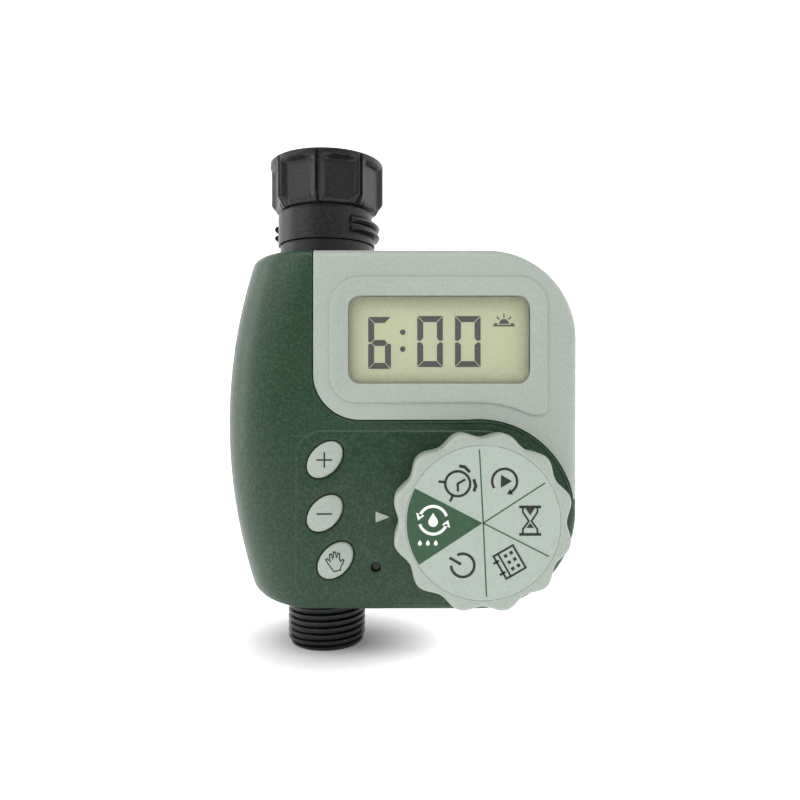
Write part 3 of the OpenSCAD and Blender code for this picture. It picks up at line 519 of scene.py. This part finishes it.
def printed(name, shapes, place, thick, material, body):
    """Flat shapes as thin solids: place(u, v, lift) puts a point lift above the surface."""
    points, faces = [], []
    for verts, polys in shapes:
        base = len(points)
        count = len(verts)
        points += [place(u, v, thick) for u, v in verts]
        points += [place(u, v, -thick) for u, v in verts]
        edges = {}
        for poly in polys:
            faces.append(tuple(base + k for k in poly))
            faces.append(tuple(base + count + k for k in reversed(poly)))
            for i, k in enumerate(poly):
                edges[(k, poly[(i + 1) % len(poly)])] = True
        for a, b in edges:
            if (b, a) not in edges:
                faces.append((base + b, base + a, base + count + a, base + count + b))
    return make_object(name, points, faces, material, body, 30)


# ---------------------------------------------------------------- dial

def dial_wave(a):
    """The finger waves round the dial's rim, from -1 to 1."""
    return math.cos(WAVES * (a - math.radians(15)))


def dial_profile(a):
    """The dial from its face's middle, over the waved rim, and back inside to the shaft's bore."""
    r = 26.75 + 1.05 * dial_wave(a)
    y = DIAL_FACE_Y
    back = CASE_FRONT_Y - DIAL_GAP
    inner = 24.2 + 0.6 * dial_wave(a)
    path = [(0, y + 0.3), (12, y + 0.3), (23.54, y + 0.3), (23.56, y + 0.25), (23.56, y + 0.06), (23.62, y)]
    path += [(24.1, y), (24.6, y + 0.02)]
    path += fillet(r - 1.9, y + 1.9, 1.9, -90, 0, 9)[1:]
    path += [(r, y + 6), (r, y + 9), (r, back - 0.4), (r - 0.12, back - 0.12), (r - 0.4, back)]
    path += [(inner + 0.3, back), (inner, back - 0.3), (inner, y + 2.6), (inner - 0.4, y + 2.2)]
    path += [(6.3, y + 2.2), (6, y + 2.5), (6, back - 0.3), (5.7, back), (3.2, back), (3.02, back - 0.2)]
    path += [(3.02, y + 3), (0, y + 3)]
    return path


def make_dial(material):
    rings = turned(dial_profile, 720, DIAL, "Y")
    points, faces = skin(rings)
    knob = make_object("dial_body", points, faces, material, "dial", 40)
    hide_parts("dial_knob")


def on_dial(u, v, lift):
    return (DIAL[0] + u, DIAL_FACE_Y - lift, DIAL[1] + v)


def drop(x, y, size):
    """A water drop with its point up."""
    return moved(blob([(0, 1.9)] + ring_points(0, 0, 1.0, 150, 390, 20)), x, y, 0, size)


def arrowhead(x, y, turn, size):
    return moved(blob([(0, -1), (1.5, 0), (0, 1)]), x, y, turn, size)


def icon_auto():
    """Two arrows that chase each other round a drop."""
    shapes = [ribbon(ring_points(0, 1.2, 3.0, a, a + 140), 0.62) for a in (20, 200)]
    shapes += [arrowhead(-2.78, 2.5, 250, 0.95), arrowhead(2.78, -0.1, 70, 0.95)]
    return shapes + [drop(0, 0.8, 1.05)]


def icon_clock():
    shapes = [ribbon(ring_points(0, 0, 2.9), 0.6, True)]
    shapes += [ribbon([(0, 0), (0, 1.9)], 0.55), ribbon([(0, 0), (1.5, -0.8)], 0.55)]
    for side in (-1, 1):
        shapes.append(ribbon([(side * 1.1, 3.75), (side * 2.6, 3.35), (side * 3.3, 2.5)], 0.75))
        shapes.append(ribbon([(side * 1.9, -2.5), (side * 2.6, -3.5)], 0.6))
    return shapes


def icon_start():
    shapes = [ribbon(ring_points(0, 0, 2.9, 60, 330), 0.6)]
    shapes += [moved(blob([(-1.0, -1.5), (1.7, 0), (-1.0, 1.5)]), 0.1, 0)]
    shapes += [arrowhead(1.3, 2.62, -30, 0.8)]
    return shapes


def icon_how_long():
    shapes = [ribbon([(-2.4, 3.2), (2.4, 3.2)], 0.65), ribbon([(-2.4, -3.2), (2.4, -3.2)], 0.65)]
    shapes += [ribbon([(-1.7, 3.0), (-1.7, 2.0), (-0.3, 0.1), (-1.7, -2.0), (-1.7, -3.0)], 0.45)]
    shapes += [ribbon([(1.7, 3.0), (1.7, 2.0), (0.3, 0.1), (1.7, -2.0), (1.7, -3.0)], 0.45)]
    shapes += [blob([(-1.1, -2.9), (1.1, -2.9), (0, -1.2)]), blob([(-0.9, 1.7), (0, 0.5), (0.9, 1.7)])]
    return shapes


def icon_how_often():
    shapes = [ribbon([(-3.0, -2.8), (3.0, -2.8), (3.0, 2.4), (-3.0, 2.4)], 0.5, True)]
    shapes += [ribbon([(-3.0, 1.2), (3.0, 1.2)], 0.45)]
    shapes += [ribbon([(x, 1.9), (x, 3.2)], 0.5) for x in (-1.5, 1.5)]
    for x in (-1.7, 0.0, 1.7):
        for y in (-0.1, -1.6):
            shapes.append(moved(blob([(-0.4, -0.4), (0.4, -0.4), (0.4, 0.4), (-0.4, 0.4)]), x, y))
    return shapes


def icon_off():
    return [ribbon(ring_points(0, -0.2, 2.7, 125, 415), 0.65), ribbon([(0, 0.4), (0, 3.2)], 0.65)]


def dial_graphics(dark, wedge, white):
    """Spokes, the green station and one icon for each station, in the order round the dial."""
    spokes = []
    for a in (93, 33, -27, -87.5):
        c, s = math.cos(math.radians(a)), math.sin(math.radians(a))
        spokes.append(ribbon([(0.0, 0.0), (22.2 * c, 22.2 * s)], 0.42))
    printed("dial_spokes", spokes, on_dial, 0.02, wedge, "dial")
    sector = [(-0.2, 0.0)] + ring_points(0, 0, 23.2, 153, 213, 30)
    printed("dial_green_station", [blob(sector)], on_dial, 0.03, wedge, "dial")
    stations = [(123, icon_clock), (63, icon_start), (3, icon_how_long), (-57, icon_how_often),
                (-117, icon_off)]
    marks = []
    for a, icon in stations:
        x, y = 14.2 * math.cos(math.radians(a)), 14.2 * math.sin(math.radians(a))
        marks += [moved(shape, x, y, a - 183, 1.3) for shape in icon()]
    printed("dial_station_icons", marks, on_dial, 0.03, dark, "dial")
    x, y = 15.2 * math.cos(math.radians(183)), 15.2 * math.sin(math.radians(183))
    autos = [moved(shape, x, y, 0, 1.4) for shape in icon_auto()]
    autos += [moved(drop(k * 2.4, 0, 0.6), x - 1.6, y - 5.4) for k in (-1, 0, 1)]
    printed("dial_station_auto", autos, on_dial, 0.05, white, "dial")


# ---------------------------------------------------------------- buttons

def crown_y(u, v):
    """The level of the domed button face at a point of the oval."""
    return BUTTON_TOP_Y + (u * u + v * v) / (2 * CROWN_R)


def button_rings(spot, count=160):
    """Rings from the crown's middle out over its rounded rim, down to the flange and the stem."""
    a, b = BUTTON_A, BUTTON_B
    c, s = math.cos(BUTTON_TILT), math.sin(BUTTON_TILT)
    rings = []

    def ring(da, db, level):
        out = []
        for k in range(count):
            t = 2 * math.pi * k / count
            u, v = da * math.cos(t), db * math.sin(t)
            x, z = c * u - s * v, s * u + c * v
            out.append((spot[0] + x, level(x, z), spot[1] + z))
        return out

    for f in (0.0, 0.15, 0.3, 0.45, 0.6, 0.72, 0.82):
        rings.append(ring(a * f, b * f, crown_y))
    for i in range(7):
        t = math.radians(90 * i / 6)
        inset = 0.75 * (1 - math.sin(t))
        sink = 0.75 * (1 - math.cos(t))
        rings.append(ring(a - inset, b - inset, lambda x, z, d=sink: crown_y(x, z) + d))
    for y in (-23.6, -22.4, -21.3):
        rings.append(ring(a, b, lambda x, z, y=y: y))
    for grow, y in ((1.1, -21.3), (1.2, -21.2), (1.2, -20.6), (1.1, -20.5)):
        rings.append(ring(a + grow, b + grow, lambda x, z, y=y: y))
    for r, y in ((1.6, -20.5), (1.6, -18.7), (1.5, -18.6), (0.0, -18.6)):
        rings.append(ring(r, r, lambda x, z, y=y: y))
    return rings


def on_crown(spot):
    return lambda u, v, lift: (spot[0] + u, crown_y(u, v) - lift, spot[1] + v)


def stroke_along(a, b, width, steps=8):
    pts = [(a[0] + (b[0] - a[0]) * i / steps, a[1] + (b[1] - a[1]) * i / steps) for i in range(steps + 1)]
    return ribbon(pts, width)


def hand_icon():
    """A raised open hand, drawn as one outline."""
    pts = [(-0.9, -2.7), (-1.5, -1.4), (-2.0, -0.2), (-2.4, 1.0), (-1.9, 1.2), (-1.3, 0.2), (-1.25, 1.2),
           (-1.1, 2.2), (-0.55, 2.2), (-0.5, 0.9), (-0.15, 1.4), (0.1, 2.6), (0.65, 2.5), (0.55, 0.9),
           (0.95, 1.5), (1.2, 2.1), (1.7, 1.8), (1.3, 0.3), (1.6, -0.3), (2.1, 0.1), (2.5, -0.2),
           (1.9, -1.1), (1.2, -1.9), (0.9, -2.7)]
    return [ribbon(pts, 0.36, True)]


def make_buttons(material, ink):
    marks = {
        "plus": [stroke_along((-2.35, 0), (2.35, 0), 0.52), stroke_along((0, -2.35), (0, 2.35), 0.52)],
        "minus": [stroke_along((-2.35, 0), (2.35, 0), 0.52)],
        "manual": [moved(s, 0, 0, 12, 1.15) for s in hand_icon()],
    }
    for name, spot in BUTTONS.items():
        points, faces = skin(button_rings(spot))
        button = make_object(name + "_key", points, faces, material, name, 45)
        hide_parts(name + "_button")
        printed(name + "_mark", marks[name], on_crown(spot), 0.03, ink, name)


# ---------------------------------------------------------------- water fittings

def coupling_profile(a):
    """Outside and inside of the swivel coupling: finger panels outside, a helical thread inside."""
    away = math.degrees(a) + 90 + 26.4
    local = (away + 22.5) % 45 - 22.5
    x = abs(local)
    outer = 19.8
    groove = 1.1 * (1 - smoothstep((22.5 - x) / 1.7))
    wall = smoothstep((21.0 - x) / 6.5)
    flat = outer - (outer - 2.1) / math.cos(math.radians(local)) if x < 21 else 0
    path = [(13.7, 0)]
    path += [(outer - 0.9, 0.0), (outer - 0.35, -0.12), (outer - 0.1, -0.4)]
    out = []
    for i in range(29):
        z = -0.4 - (16.2 - 0.4) * i / 28
        under = smoothstep((-z - 1.9) / 1.5)
        scoop = under * wall * max(flat, 0.0) + under * wall * 0.25
        lower = 17.6 + z
        corner = max(0.0, 1 - lower / 3.4) * smoothstep((x - 12.5) / 9) * 3.6
        notch = groove * smoothstep((-z - 0.2) / 0.8)
        out.append((outer - scoop - notch - corner * 0.8, z))
    path += out
    r = out[-1][0]
    path += [(r - 0.35, -16.9), (r - 1.0, -17.4), (r - 2.0, -17.6), (15.9, -17.6)]
    path += [(15.9, -20.5), (15.6, -20.8), (14.2, -20.8), (14.0, -21.0), (14.0, -23.0), (14.2, -23.2)]
    path += [(15.4, -23.2), (15.6, -23.4), (15.6, -25.2), (15.4, -25.4), (13.1, -25.4), (12.9, -25.2)]
    path += [(12.9, -13.4), (12.9, -13.0), (12.5, -12.8)]
    steps = 60
    for i in range(steps + 1):
        z = -12.6 + 11.4 * i / steps
        turn = ((z + 12.6) / PITCH - a / (2 * math.pi)) % 1.0
        tooth = smoothstep((abs(turn - 0.5) - 0.14) / 0.2)
        fade = smoothstep((z + 12.6) / 1.2) * smoothstep((-1.2 - z) / 1.2)
        path.append((12.35 + 1.2 * tooth * fade + 0.15 * (1 - fade), z))
    path += [(12.9, -0.7), (13.4, -0.15)]
    return path


def make_coupling(material):
    points, faces = skin(turned(coupling_profile, 480, (0, 0), "Z"), closed=True)
    nut = make_object("inlet_nut_body", points, faces, material, "inlet_nut", 50)
    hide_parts("inlet_coupling")


def outlet_profile(a):
    """The threaded outlet below the case: a helical male thread round a plain bore."""
    top, bottom = OUTLET_TOP, OUTLET_BOTTOM
    path = [(9.0, top), (13.2, top)]
    steps = 130
    for i in range(steps + 1):
        z = top - 0.2 - (top - bottom - 1.0) * i / steps
        turn = ((z - top) / PITCH - a / (2 * math.pi)) % 1.0
        groove = 1 - smoothstep((abs(turn - 0.5) - 0.1) / 0.22)
        fade = smoothstep((top - 0.2 - z) / 1.6)
        lead = smoothstep((z - bottom - 0.4) / 2.4)
        path.append((13.5 - 1.3 * groove * fade - 0.75 * (1 - lead), z))
    path += [(12.5, bottom + 0.3), (12.2, bottom + 0.05), (11.9, bottom), (9.4, bottom), (9.0, bottom + 0.4)]
    return path


def make_outlet(material):
    """The valve body as packed down to the case's underside, and a helical thread below that."""
    body = cut_copy("valve_body", "valve_casting", (0, 0, OUTLET_CUT * MM), (0, 0, -1), material, True)
    points, faces = skin(turned(outlet_profile, 360, (0, 0), "Z"), closed=True)
    thread = make_object("outlet_thread", points, faces, material, "housing", 50)
    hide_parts("valve_body")
    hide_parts("valve_body")


# ---------------------------------------------------------------- case details

def even_steps(path, count):
    """A closed path walked in equal steps."""
    pts = np.array(path + path[:1], float)
    run = np.concatenate([[0], np.cumsum(np.linalg.norm(np.diff(pts, axis=0), axis=1))])
    at = np.linspace(0, run[-1], count, endpoint=False)
    return np.stack([np.interp(at, run, pts[:, 0]), np.interp(at, run, pts[:, 1])], axis=1)


def inward(pts):
    """Unit normals that point into an anticlockwise closed path."""
    along = np.roll(pts, -1, axis=0) - np.roll(pts, 1, axis=0)
    along /= np.linalg.norm(along, axis=1)[:, None]
    return np.stack([-along[:, 1], along[:, 0]], axis=1)


def levelled(pts, y):
    return [(p[0], y, p[1]) for p in pts]


def corner(x, z, r, start, end, steps=14):
    return ring_points(x, z, r, start, end, steps)


def frame_path():
    """The outline of the frame round the window, anticlockwise, with its tail over the dial."""
    path = corner(12.1, -75.0, 9.0, 180, 270)
    path += [(48.0, -84.0)] + corner(DIAL[0], DIAL[1], 36.2, 90, 63, 20) + [(68.6, -88.0)]
    path += corner(70.9, -85.4, 2.6, 270, 360)
    path += corner(64.2, -52.6, 9.3, 0, 90)
    path += corner(13.1, -53.3, 10.0, 90, 180)
    return path


def window_ring(outer, grow):
    """Points on the window's round-cornered edge in the directions of the outer path's points."""
    x0, x1, z0, z1 = WINDOW
    r = WINDOW_R
    path = corner(x0 + r, z0 + r, r, 180, 270) + corner(x1 - r, z0 + r, r, 270, 360)
    path += corner(x1 - r, z1 - r, r, 0, 90) + corner(x0 + r, z1 - r, r, 90, 180)
    dense = even_steps(path, 3000)
    dense = dense - inward(dense) * grow
    middle = np.array([(x0 + x1) / 2, (z0 + z1) / 2])
    span = np.array([(x1 - x0) / 2, (z1 - z0) / 2])
    near = (dense - middle) / span
    angles = np.unwrap(np.arctan2(near[:, 1], near[:, 0]))
    want = (outer - middle) / (span + np.array([6.0, 6.0]))
    want = np.arctan2(want[:, 1], want[:, 0])
    low = angles.min()
    want = low + np.mod(want - low, 2 * math.pi)
    order = np.argsort(angles)
    return np.stack([np.interp(want, angles[order], dense[order, 0], period=2 * math.pi),
                     np.interp(want, angles[order], dense[order, 1], period=2 * math.pi)], axis=1)


def make_display_frame(material):
    """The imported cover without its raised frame, and a frame with rounded edges and a dished face."""
    shell = cut_copy("display_cover", "display_shell", (0, FRAME_CUT_Y * MM, 0), (0, -1, 0), material, False)
    outer = even_steps(frame_path(), 720)
    into = inward(outer)
    edge = window_ring(outer, 0.0)
    rings = [levelled(outer, -23.8)]
    for i in range(8):
        t = math.radians(90 * i / 7)
        inset = FRAME_EDGE * (1 - math.cos(t))
        rings.append(levelled(outer + into * inset, -23.97 - FRAME_EDGE * math.sin(t)))
    ridge = outer + into * 1.3
    lip = window_ring(outer, 0.45)
    for i in range(14):
        t = i / 13
        rings.append(levelled(ridge * (1 - t) + lip * t, FRAME_TOP_Y + FRAME_DISH * t ** 1.35))
    rings.append(levelled(window_ring(outer, 0.2), -23.44))
    rings.append(levelled(window_ring(outer, 0.06), -23.3))
    rings += [levelled(edge, -23.05), levelled(edge, -21.7)]
    rings += [levelled(window_ring(outer, 1.0), -21.9), levelled(outer + into * 2.0, -23.3)]
    points, faces = skin(rings, closed=True)
    raised = make_object("display_frame", points, faces, material, "housing", 50)
    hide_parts("display_cover")
    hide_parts("display_cover")


def dressed_copy(name, mesh, material):
    """An object from a mesh that was copied from a CAD node, with the node's shading."""
    mesh.materials.clear()
    mesh.materials.append(material)
    plain_shading(mesh)
    obj = bpy.data.objects.new(name, mesh)
    bpy.context.scene.collection.objects.link(obj)
    return obj


def cut_copy(node, name, place, normal, material, closed):
    """A copy of a CAD node without what lies past a plane; closed fills the cut's rims."""
    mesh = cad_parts[node].data.copy()
    bm = bmesh.new()
    bm.from_mesh(mesh)
    bmesh.ops.remove_doubles(bm, verts=bm.verts, dist=1e-6)
    cut = bmesh.ops.bisect_plane(
        bm, geom=list(bm.verts) + list(bm.edges) + list(bm.faces), plane_co=place, plane_no=normal,
        clear_outer=True)
    if closed:
        rim = [e for e in cut["geom_cut"] if isinstance(e, bmesh.types.BMEdge)]
        bmesh.ops.edgeloop_fill(bm, edges=rim)
    bm.to_mesh(mesh)
    bm.free()
    obj = dressed_copy(name, mesh, material)
    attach(obj, "housing")
    return obj


def make_soft_spring(node, name, axis, material):
    """A copy of a packed spring in its node's place; it stays where the node was packed."""
    obj = dressed_copy(name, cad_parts[node].data.copy(), material)
    low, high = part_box(node)
    start = [(a + b) / 2 for a, b in zip(low, high)]
    end = list(start)
    start[axis], end[axis] = low[axis], high[axis]
    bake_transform(obj)
    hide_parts(node)


def panel_path():
    """The outline of the raised control panel, anticlockwise: a round end about the dial."""
    path = corner(-0.5, -140.65, 7.25, 180, 270)
    path += corner(DIAL[0], DIAL[1], 27.65, -90, 90, 60)
    path += corner(0.7, -101.05, 8.45, 90, 180)
    return path


def hole_path(x, z, a, b, turn):
    """An oval with half lengths a and b, turned by an angle."""
    c, s = math.cos(turn), math.sin(turn)
    out = []
    for k in range(96):
        t = 2 * math.pi * k / 96
        u, v = a * math.cos(t), b * math.sin(t)
        out.append((x + c * u - s * v, z + s * u + c * v))
    return out


def make_panel(material):
    """The raised control panel, with rounded edges outside and round its holes."""
    outer = even_steps(panel_path(), 600)
    into = inward(outer)
    bm = bmesh.new()

    def ring(points):
        return [bm.verts.new(Vector(p) * MM) for p in points]

    def bridge(a, b):
        n = len(a)
        for k in range(n):
            bm.faces.new((a[k], a[(k + 1) % n], b[(k + 1) % n], b[k]))

    def rail(path, normals, profile):
        """Rings from the top edge down to the underside; the first and the last get filled."""
        rings = [ring(levelled(path + normals * inset, PANEL_Y + drop)) for inset, drop in profile]
        for a, b in zip(rings, rings[1:]):
            bridge(a, b)
        return rings

    slope = [(0.85, 0), (0.75, 0.02), (0.1, 0.36), (0.03, 0.42), (0, 0.5), (0, 1.85)]
    loops = [rail(outer, into, slope)]
    lip = [(0.3 - 0.3 * math.sin(math.radians(18 * i)), 0.3 - 0.3 * math.cos(math.radians(18 * i)))
           for i in range(6)] + [(0, 1.85)]
    holes = []
    for spot in BUTTONS.values():
        holes.append(hole_path(*spot, BUTTON_A + BUTTON_GAP, BUTTON_B + BUTTON_GAP, BUTTON_TILT))
    holes.append(hole_path(*RESET_HOLE, RESET_HOLE[2], 0))
    holes.append(hole_path(*DIAL, SHAFT_HOLE_R, SHAFT_HOLE_R, 0))
    for hole in holes:
        path = np.array(hole)
        loops.append(rail(path, -inward(path), lip))
    for level in (0, -1):
        edges = []
        for rings in loops:
            rim = rings[level]
            for k in range(len(rim)):
                edges.append(bm.edges.get((rim[k], rim[(k + 1) % len(rim)])))
        bmesh.ops.triangle_fill(bm, use_beauty=True, use_dissolve=False, edges=edges)
    bmesh.ops.recalc_face_normals(bm, faces=bm.faces)
    mesh = bpy.data.meshes.new("control_panel")
    bm.to_mesh(mesh)
    bm.free()
    mesh.shade_smooth()
    mesh.set_sharp_from_angle(angle=math.radians(40))
    mesh.materials.append(material)
    obj = bpy.data.objects.new("control_panel", mesh)
    bpy.context.scene.collection.objects.link(obj)
    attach(obj, "housing")


def bead(name, path, r, material, body, sides=12):
    """A round bead along an open path of points, with tapered ends."""
    rings = []
    n = len(path)
    for i in range(n):
        a, b = Vector(path[max(i - 1, 0)]), Vector(path[min(i + 1, n - 1)])
        t = (b - a).normalized()
        u = t.cross(Vector((0, 1, 0))).normalized()
        v = u.cross(t)
        near = r * min(1.0, 0.05 + i / 2, 0.05 + (n - 1 - i) / 2)
        rings.append([tuple(Vector(path[i]) + near * (math.cos(q) * u + math.sin(q) * v))
                      for q in (2 * math.pi * k / sides for k in range(sides))])
    points, faces = skin(rings)
    faces += [tuple(range(sides)), tuple((n - 1) * sides + k for k in reversed(range(sides)))]
    make_object(name, points, faces, material, body, 50)


def make_gap_lip(material):
    """The green cover's rounded lip along its joint with the display cover."""
    y = CASE_FRONT_Y + 0.15
    flat = [(-2.9, -38.2), (-2.9, -50), (-2.9, -62), (-2.9, -74.35)]
    flat += corner(13.0, -74.35, 15.9, 180, 270, 30)[1:] + [(25, -90.25), (37, -90.25), (46, -90.25)]
    flat += corner(DIAL[0], DIAL[1], 30.2, 95, 14, 60)
    bead("joint_lip", [(x, y, z) for x, z in flat], 0.45, material, "housing")


# ---------------------------------------------------------------- display

def bar_shape(x0, z0, x1, z1, w, kind):
    """One bar of a digit between two corners: outer bars are trapezoids, the middle one a hexagon."""
    gap = 0.16
    length = math.hypot(x1 - x0, z1 - z0)
    if kind == "middle":
        pts = [(gap + 0.1, 0), (w / 2 + gap, w / 2), (length - w / 2 - gap, w / 2), (length - gap - 0.1, 0),
               (length - w / 2 - gap, -w / 2), (w / 2 + gap, -w / 2)]
    else:
        pts = [(-w / 2 + gap, w / 2), (length + w / 2 - gap, w / 2), (length - w / 2 - gap, -w / 2),
               (w / 2 + gap, -w / 2)]
    if kind == "upper":
        pts = [(-w / 2 + gap, w / 2), (length - gap - 0.3, w / 2), (length - gap, 0),
               (length - w / 2 - gap, -w / 2), (w / 2 + gap, -w / 2)]
    turn = math.degrees(math.atan2(z1 - z0, x1 - x0))
    return moved(blob(pts), x0, z0, turn)


def digit_shapes(x, z, dx, dz, lit):
    """Bars named a to g, clockwise from the top, with g in the middle; dx and dz are a digit's sizes."""
    w = 1.95
    bars = {
        "a": (x, z + dz, x + dx, z + dz, "outer"), "d": (x + dx, z - dz, x, z - dz, "outer"),
        "b": (x + dx, z + dz, x + dx, z, "upper"), "f": (x, z + dz, x, z, "left"),
        "c": (x + dx, z - dz, x + dx, z, "right"), "e": (x, z - dz, x, z, "upper"),
        "g": (x, z, x + dx, z, "middle"),
    }
    shapes = []
    for key in lit:
        x0, z0, x1, z1, kind = bars[key]
        if kind in ("left", "right"):
            verts, faces = bar_shape(0, 0, math.hypot(x1 - x0, z1 - z0), 0, w, "upper")
            verts = [(u, -v) for u, v in verts]
            shapes.append(moved((verts, faces), x0, z0, math.degrees(math.atan2(z1 - z0, x1 - x0))))
        else:
            shapes.append(bar_shape(x0, z0, x1, z1, w, kind))
    return shapes


def on_display(u, v, lift):
    return (u, LCD_Y - 0.03 - lift, v)


def make_display(ink):
    """The time, six o'clock, with a rising sun that stands for the morning."""
    shapes = digit_shapes(16.5, -64.4, 5.5, 7.5, "acdefg")
    shapes += digit_shapes(32.5, -63.95, 6.4, 7.35, "abcdef")
    shapes += digit_shapes(44.8, -63.95, 6.4, 7.35, "abcdef")
    shapes += [blob(ring_points(26.8, z, 0.9, steps=28)) for z in (-60.9, -66.4)]
    shapes.append(blob(ring_points(59.8, -58.2, 1.6, 0, 180, 20)))
    shapes.append(ribbon([(56.4, -58.75), (63.2, -58.75)], 0.5))
    for a in (0, 45, 90, 135, 180):
        c, s = math.cos(math.radians(a)), math.sin(math.radians(a))
        shapes.append(ribbon([(59.8 + 2.2 * c, -58.2 + 2.2 * s), (59.8 + 3.2 * c, -58.2 + 3.2 * s)], 0.42))
    digits = printed("display_marks", shapes, on_display, 0.05, ink, "housing")
    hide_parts("lcd_segments")


# ---------------------------------------------------------------- CAD nodes

def plain_shading(mesh, angle=28):
    """Smooth shading that stays sharp at real edges."""
    for name in ("custom_normal", "sharp_edge", "sharp_face"):
        attribute = mesh.attributes.get(name)
        if attribute is not None:
            mesh.attributes.remove(attribute)
    mesh.shade_smooth()
    mesh.set_sharp_from_angle(angle=math.radians(angle))


def dress_nodes():
    """Every CAD node gets its slot's material and smooth shading that keeps real edges."""
    made = {slot: build() for slot, build in SLOTS.items()}
    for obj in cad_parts.values():
        slot = obj.data.materials[0].name
        obj.data.materials.clear()
        obj.data.materials.append(made[slot])
        weld = obj.modifiers.new("weld", "WELD")
        weld.merge_threshold = 1e-6
        split = obj.modifiers.new("edges", "EDGE_SPLIT")
        split.split_angle = math.radians(28)
        split.use_edge_sharp = False
        plain_shading(obj.data)
    return made


# ---------------------------------------------------------------- studio

def make_stage():
    """A round white studio: a floor that sweeps up into its wall all round, glowing as painted light that is
    dimmer towards the front, with a painted contact shadow under the outlet.
    """
    rows = [(0.4, 0.0), (1.3, 0.0)]
    rows += [(1.3 + 0.6 * math.sin(math.radians(a)), 0.6 - 0.6 * math.cos(math.radians(a)))
             for a in range(6, 96, 6)]
    rows.append((1.9, 2.4))
    rings = [[(r * math.cos(2 * math.pi * k / 96), r * math.sin(2 * math.pi * k / 96), z + FLOOR_Z * MM)
              for k in range(96)] for r, z in rows]
    points, faces = skin(rings)
    faces.append(tuple(reversed(range(96))))
    mesh = bpy.data.meshes.new("sweep")
    mesh.from_pydata(points, [], faces)
    mesh.shade_smooth()
    g = Graph("sweep_paper")
    separate = g.add("ShaderNodeSeparateXYZ")
    g.put(separate.inputs[0], g.coords)
    behind = g.span(separate.outputs["Y"], -1.5, -0.25)
    body = g.mix(behind, (0.3, 0.3, 0.3, 1), (0.6, 0.6, 0.6, 1))
    reach = g.add("ShaderNodeVectorMath", operation="LENGTH")
    g.put(reach.inputs[0], g.coords)
    # Painted contact shadow: the glow drops to a tenth on the floor just under the outlet.
    near = g.span(reach.outputs["Value"], 0.1685, 0.1735, 0.1, 1.0)
    # Painted light: the sweep glows, dimmer towards the front.
    painted_glow = g.math("MULTIPLY", near, g.span(behind, 0.0, 1.0, 0.2, 0.95))
    mesh.materials.append(g.finish(
        Base_Color=body, Roughness=0.9, Emission_Color=(1, 1, 1, 1), Emission_Strength=painted_glow))
    sweep_mesh = bpy.data.objects.new("sweep", mesh)
    bpy.context.scene.collection.objects.link(sweep_mesh)


def lamp(name, place, aim, size, power):
    """A soft rectangular lamp that points at a place."""
    light = bpy.data.lights.new(name, "AREA")
    light.shape = "RECTANGLE"
    light.size, light.size_y = size
    light.energy = power
    obj = bpy.data.objects.new(name, light)
    obj.location = place
    obj.rotation_euler = (Vector(aim) - Vector(place)).to_track_quat("-Z", "Y").to_euler()
    bpy.context.scene.collection.objects.link(obj)


def make_lights():
    middle = (0.02, 0.0, -0.09)
    lamp("key", (-0.45, -0.4, 0.3), middle, (0.4, 0.4), 0.8)
    lamp("fill", (0.75, -0.6, 0.1), middle, (0.6, 0.9), 0.35)
    lamp("top", (0.0, -0.35, 0.5), middle, (0.6, 0.3), 2.0)
    lamp("left_strip", (-0.5, 0.05, -0.05), middle, (0.14, 0.7), 0.5)
    world = bpy.data.worlds.new("studio")
    bpy.context.scene.world = world
    world.use_nodes = True
    world.node_tree.nodes["Background"].inputs["Color"].default_value = (1, 1, 1, 1)
    world.node_tree.nodes["Background"].inputs["Strength"].default_value = 0.35


def make_camera():
    data = bpy.data.cameras.new("camera")
    data.lens = 31.5
    data.sensor_width = 36
    data.clip_start = 0.01
    data.clip_end = 20
    camera = bpy.data.objects.new("camera", data)
    camera.location = (0.0259, -0.2488, -0.083)
    camera.rotation_euler = (math.radians(90), 0, 0)
    bpy.context.scene.collection.objects.link(camera)
    bpy.context.scene.camera = camera
    bpy.context.scene.view_settings.view_transform = "Standard"
    bpy.context.scene.view_settings.look = "None"


made = dress_nodes()
ink_dark = print_ink("ink_dark", (22, 26, 23), (15, 18, 16))
ink_green = print_ink("ink_green", (36, 76, 48), (30, 68, 42))
ink_white = print_ink("ink_white", (232, 236, 230), (222, 227, 221))
make_dial(made["grey_plastic"])
dial_graphics(ink_dark, ink_green, ink_white)
make_buttons(made["grey_plastic"], ink_dark)
make_coupling(made["black_plastic"])
make_outlet(made["black_plastic"])
make_display_frame(made["grey_plastic"])
make_panel(made["green_plastic"])
make_gap_lip(made["green_plastic"])
make_display(made["display_ink"])
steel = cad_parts["diaphragm_spring"].data.materials[0]
make_soft_spring("diaphragm_spring", "lift_spring", 1, steel)
make_soft_spring("plunger_spring", "pull_spring", 0, steel)
make_stage()
make_lights()
make_camera()
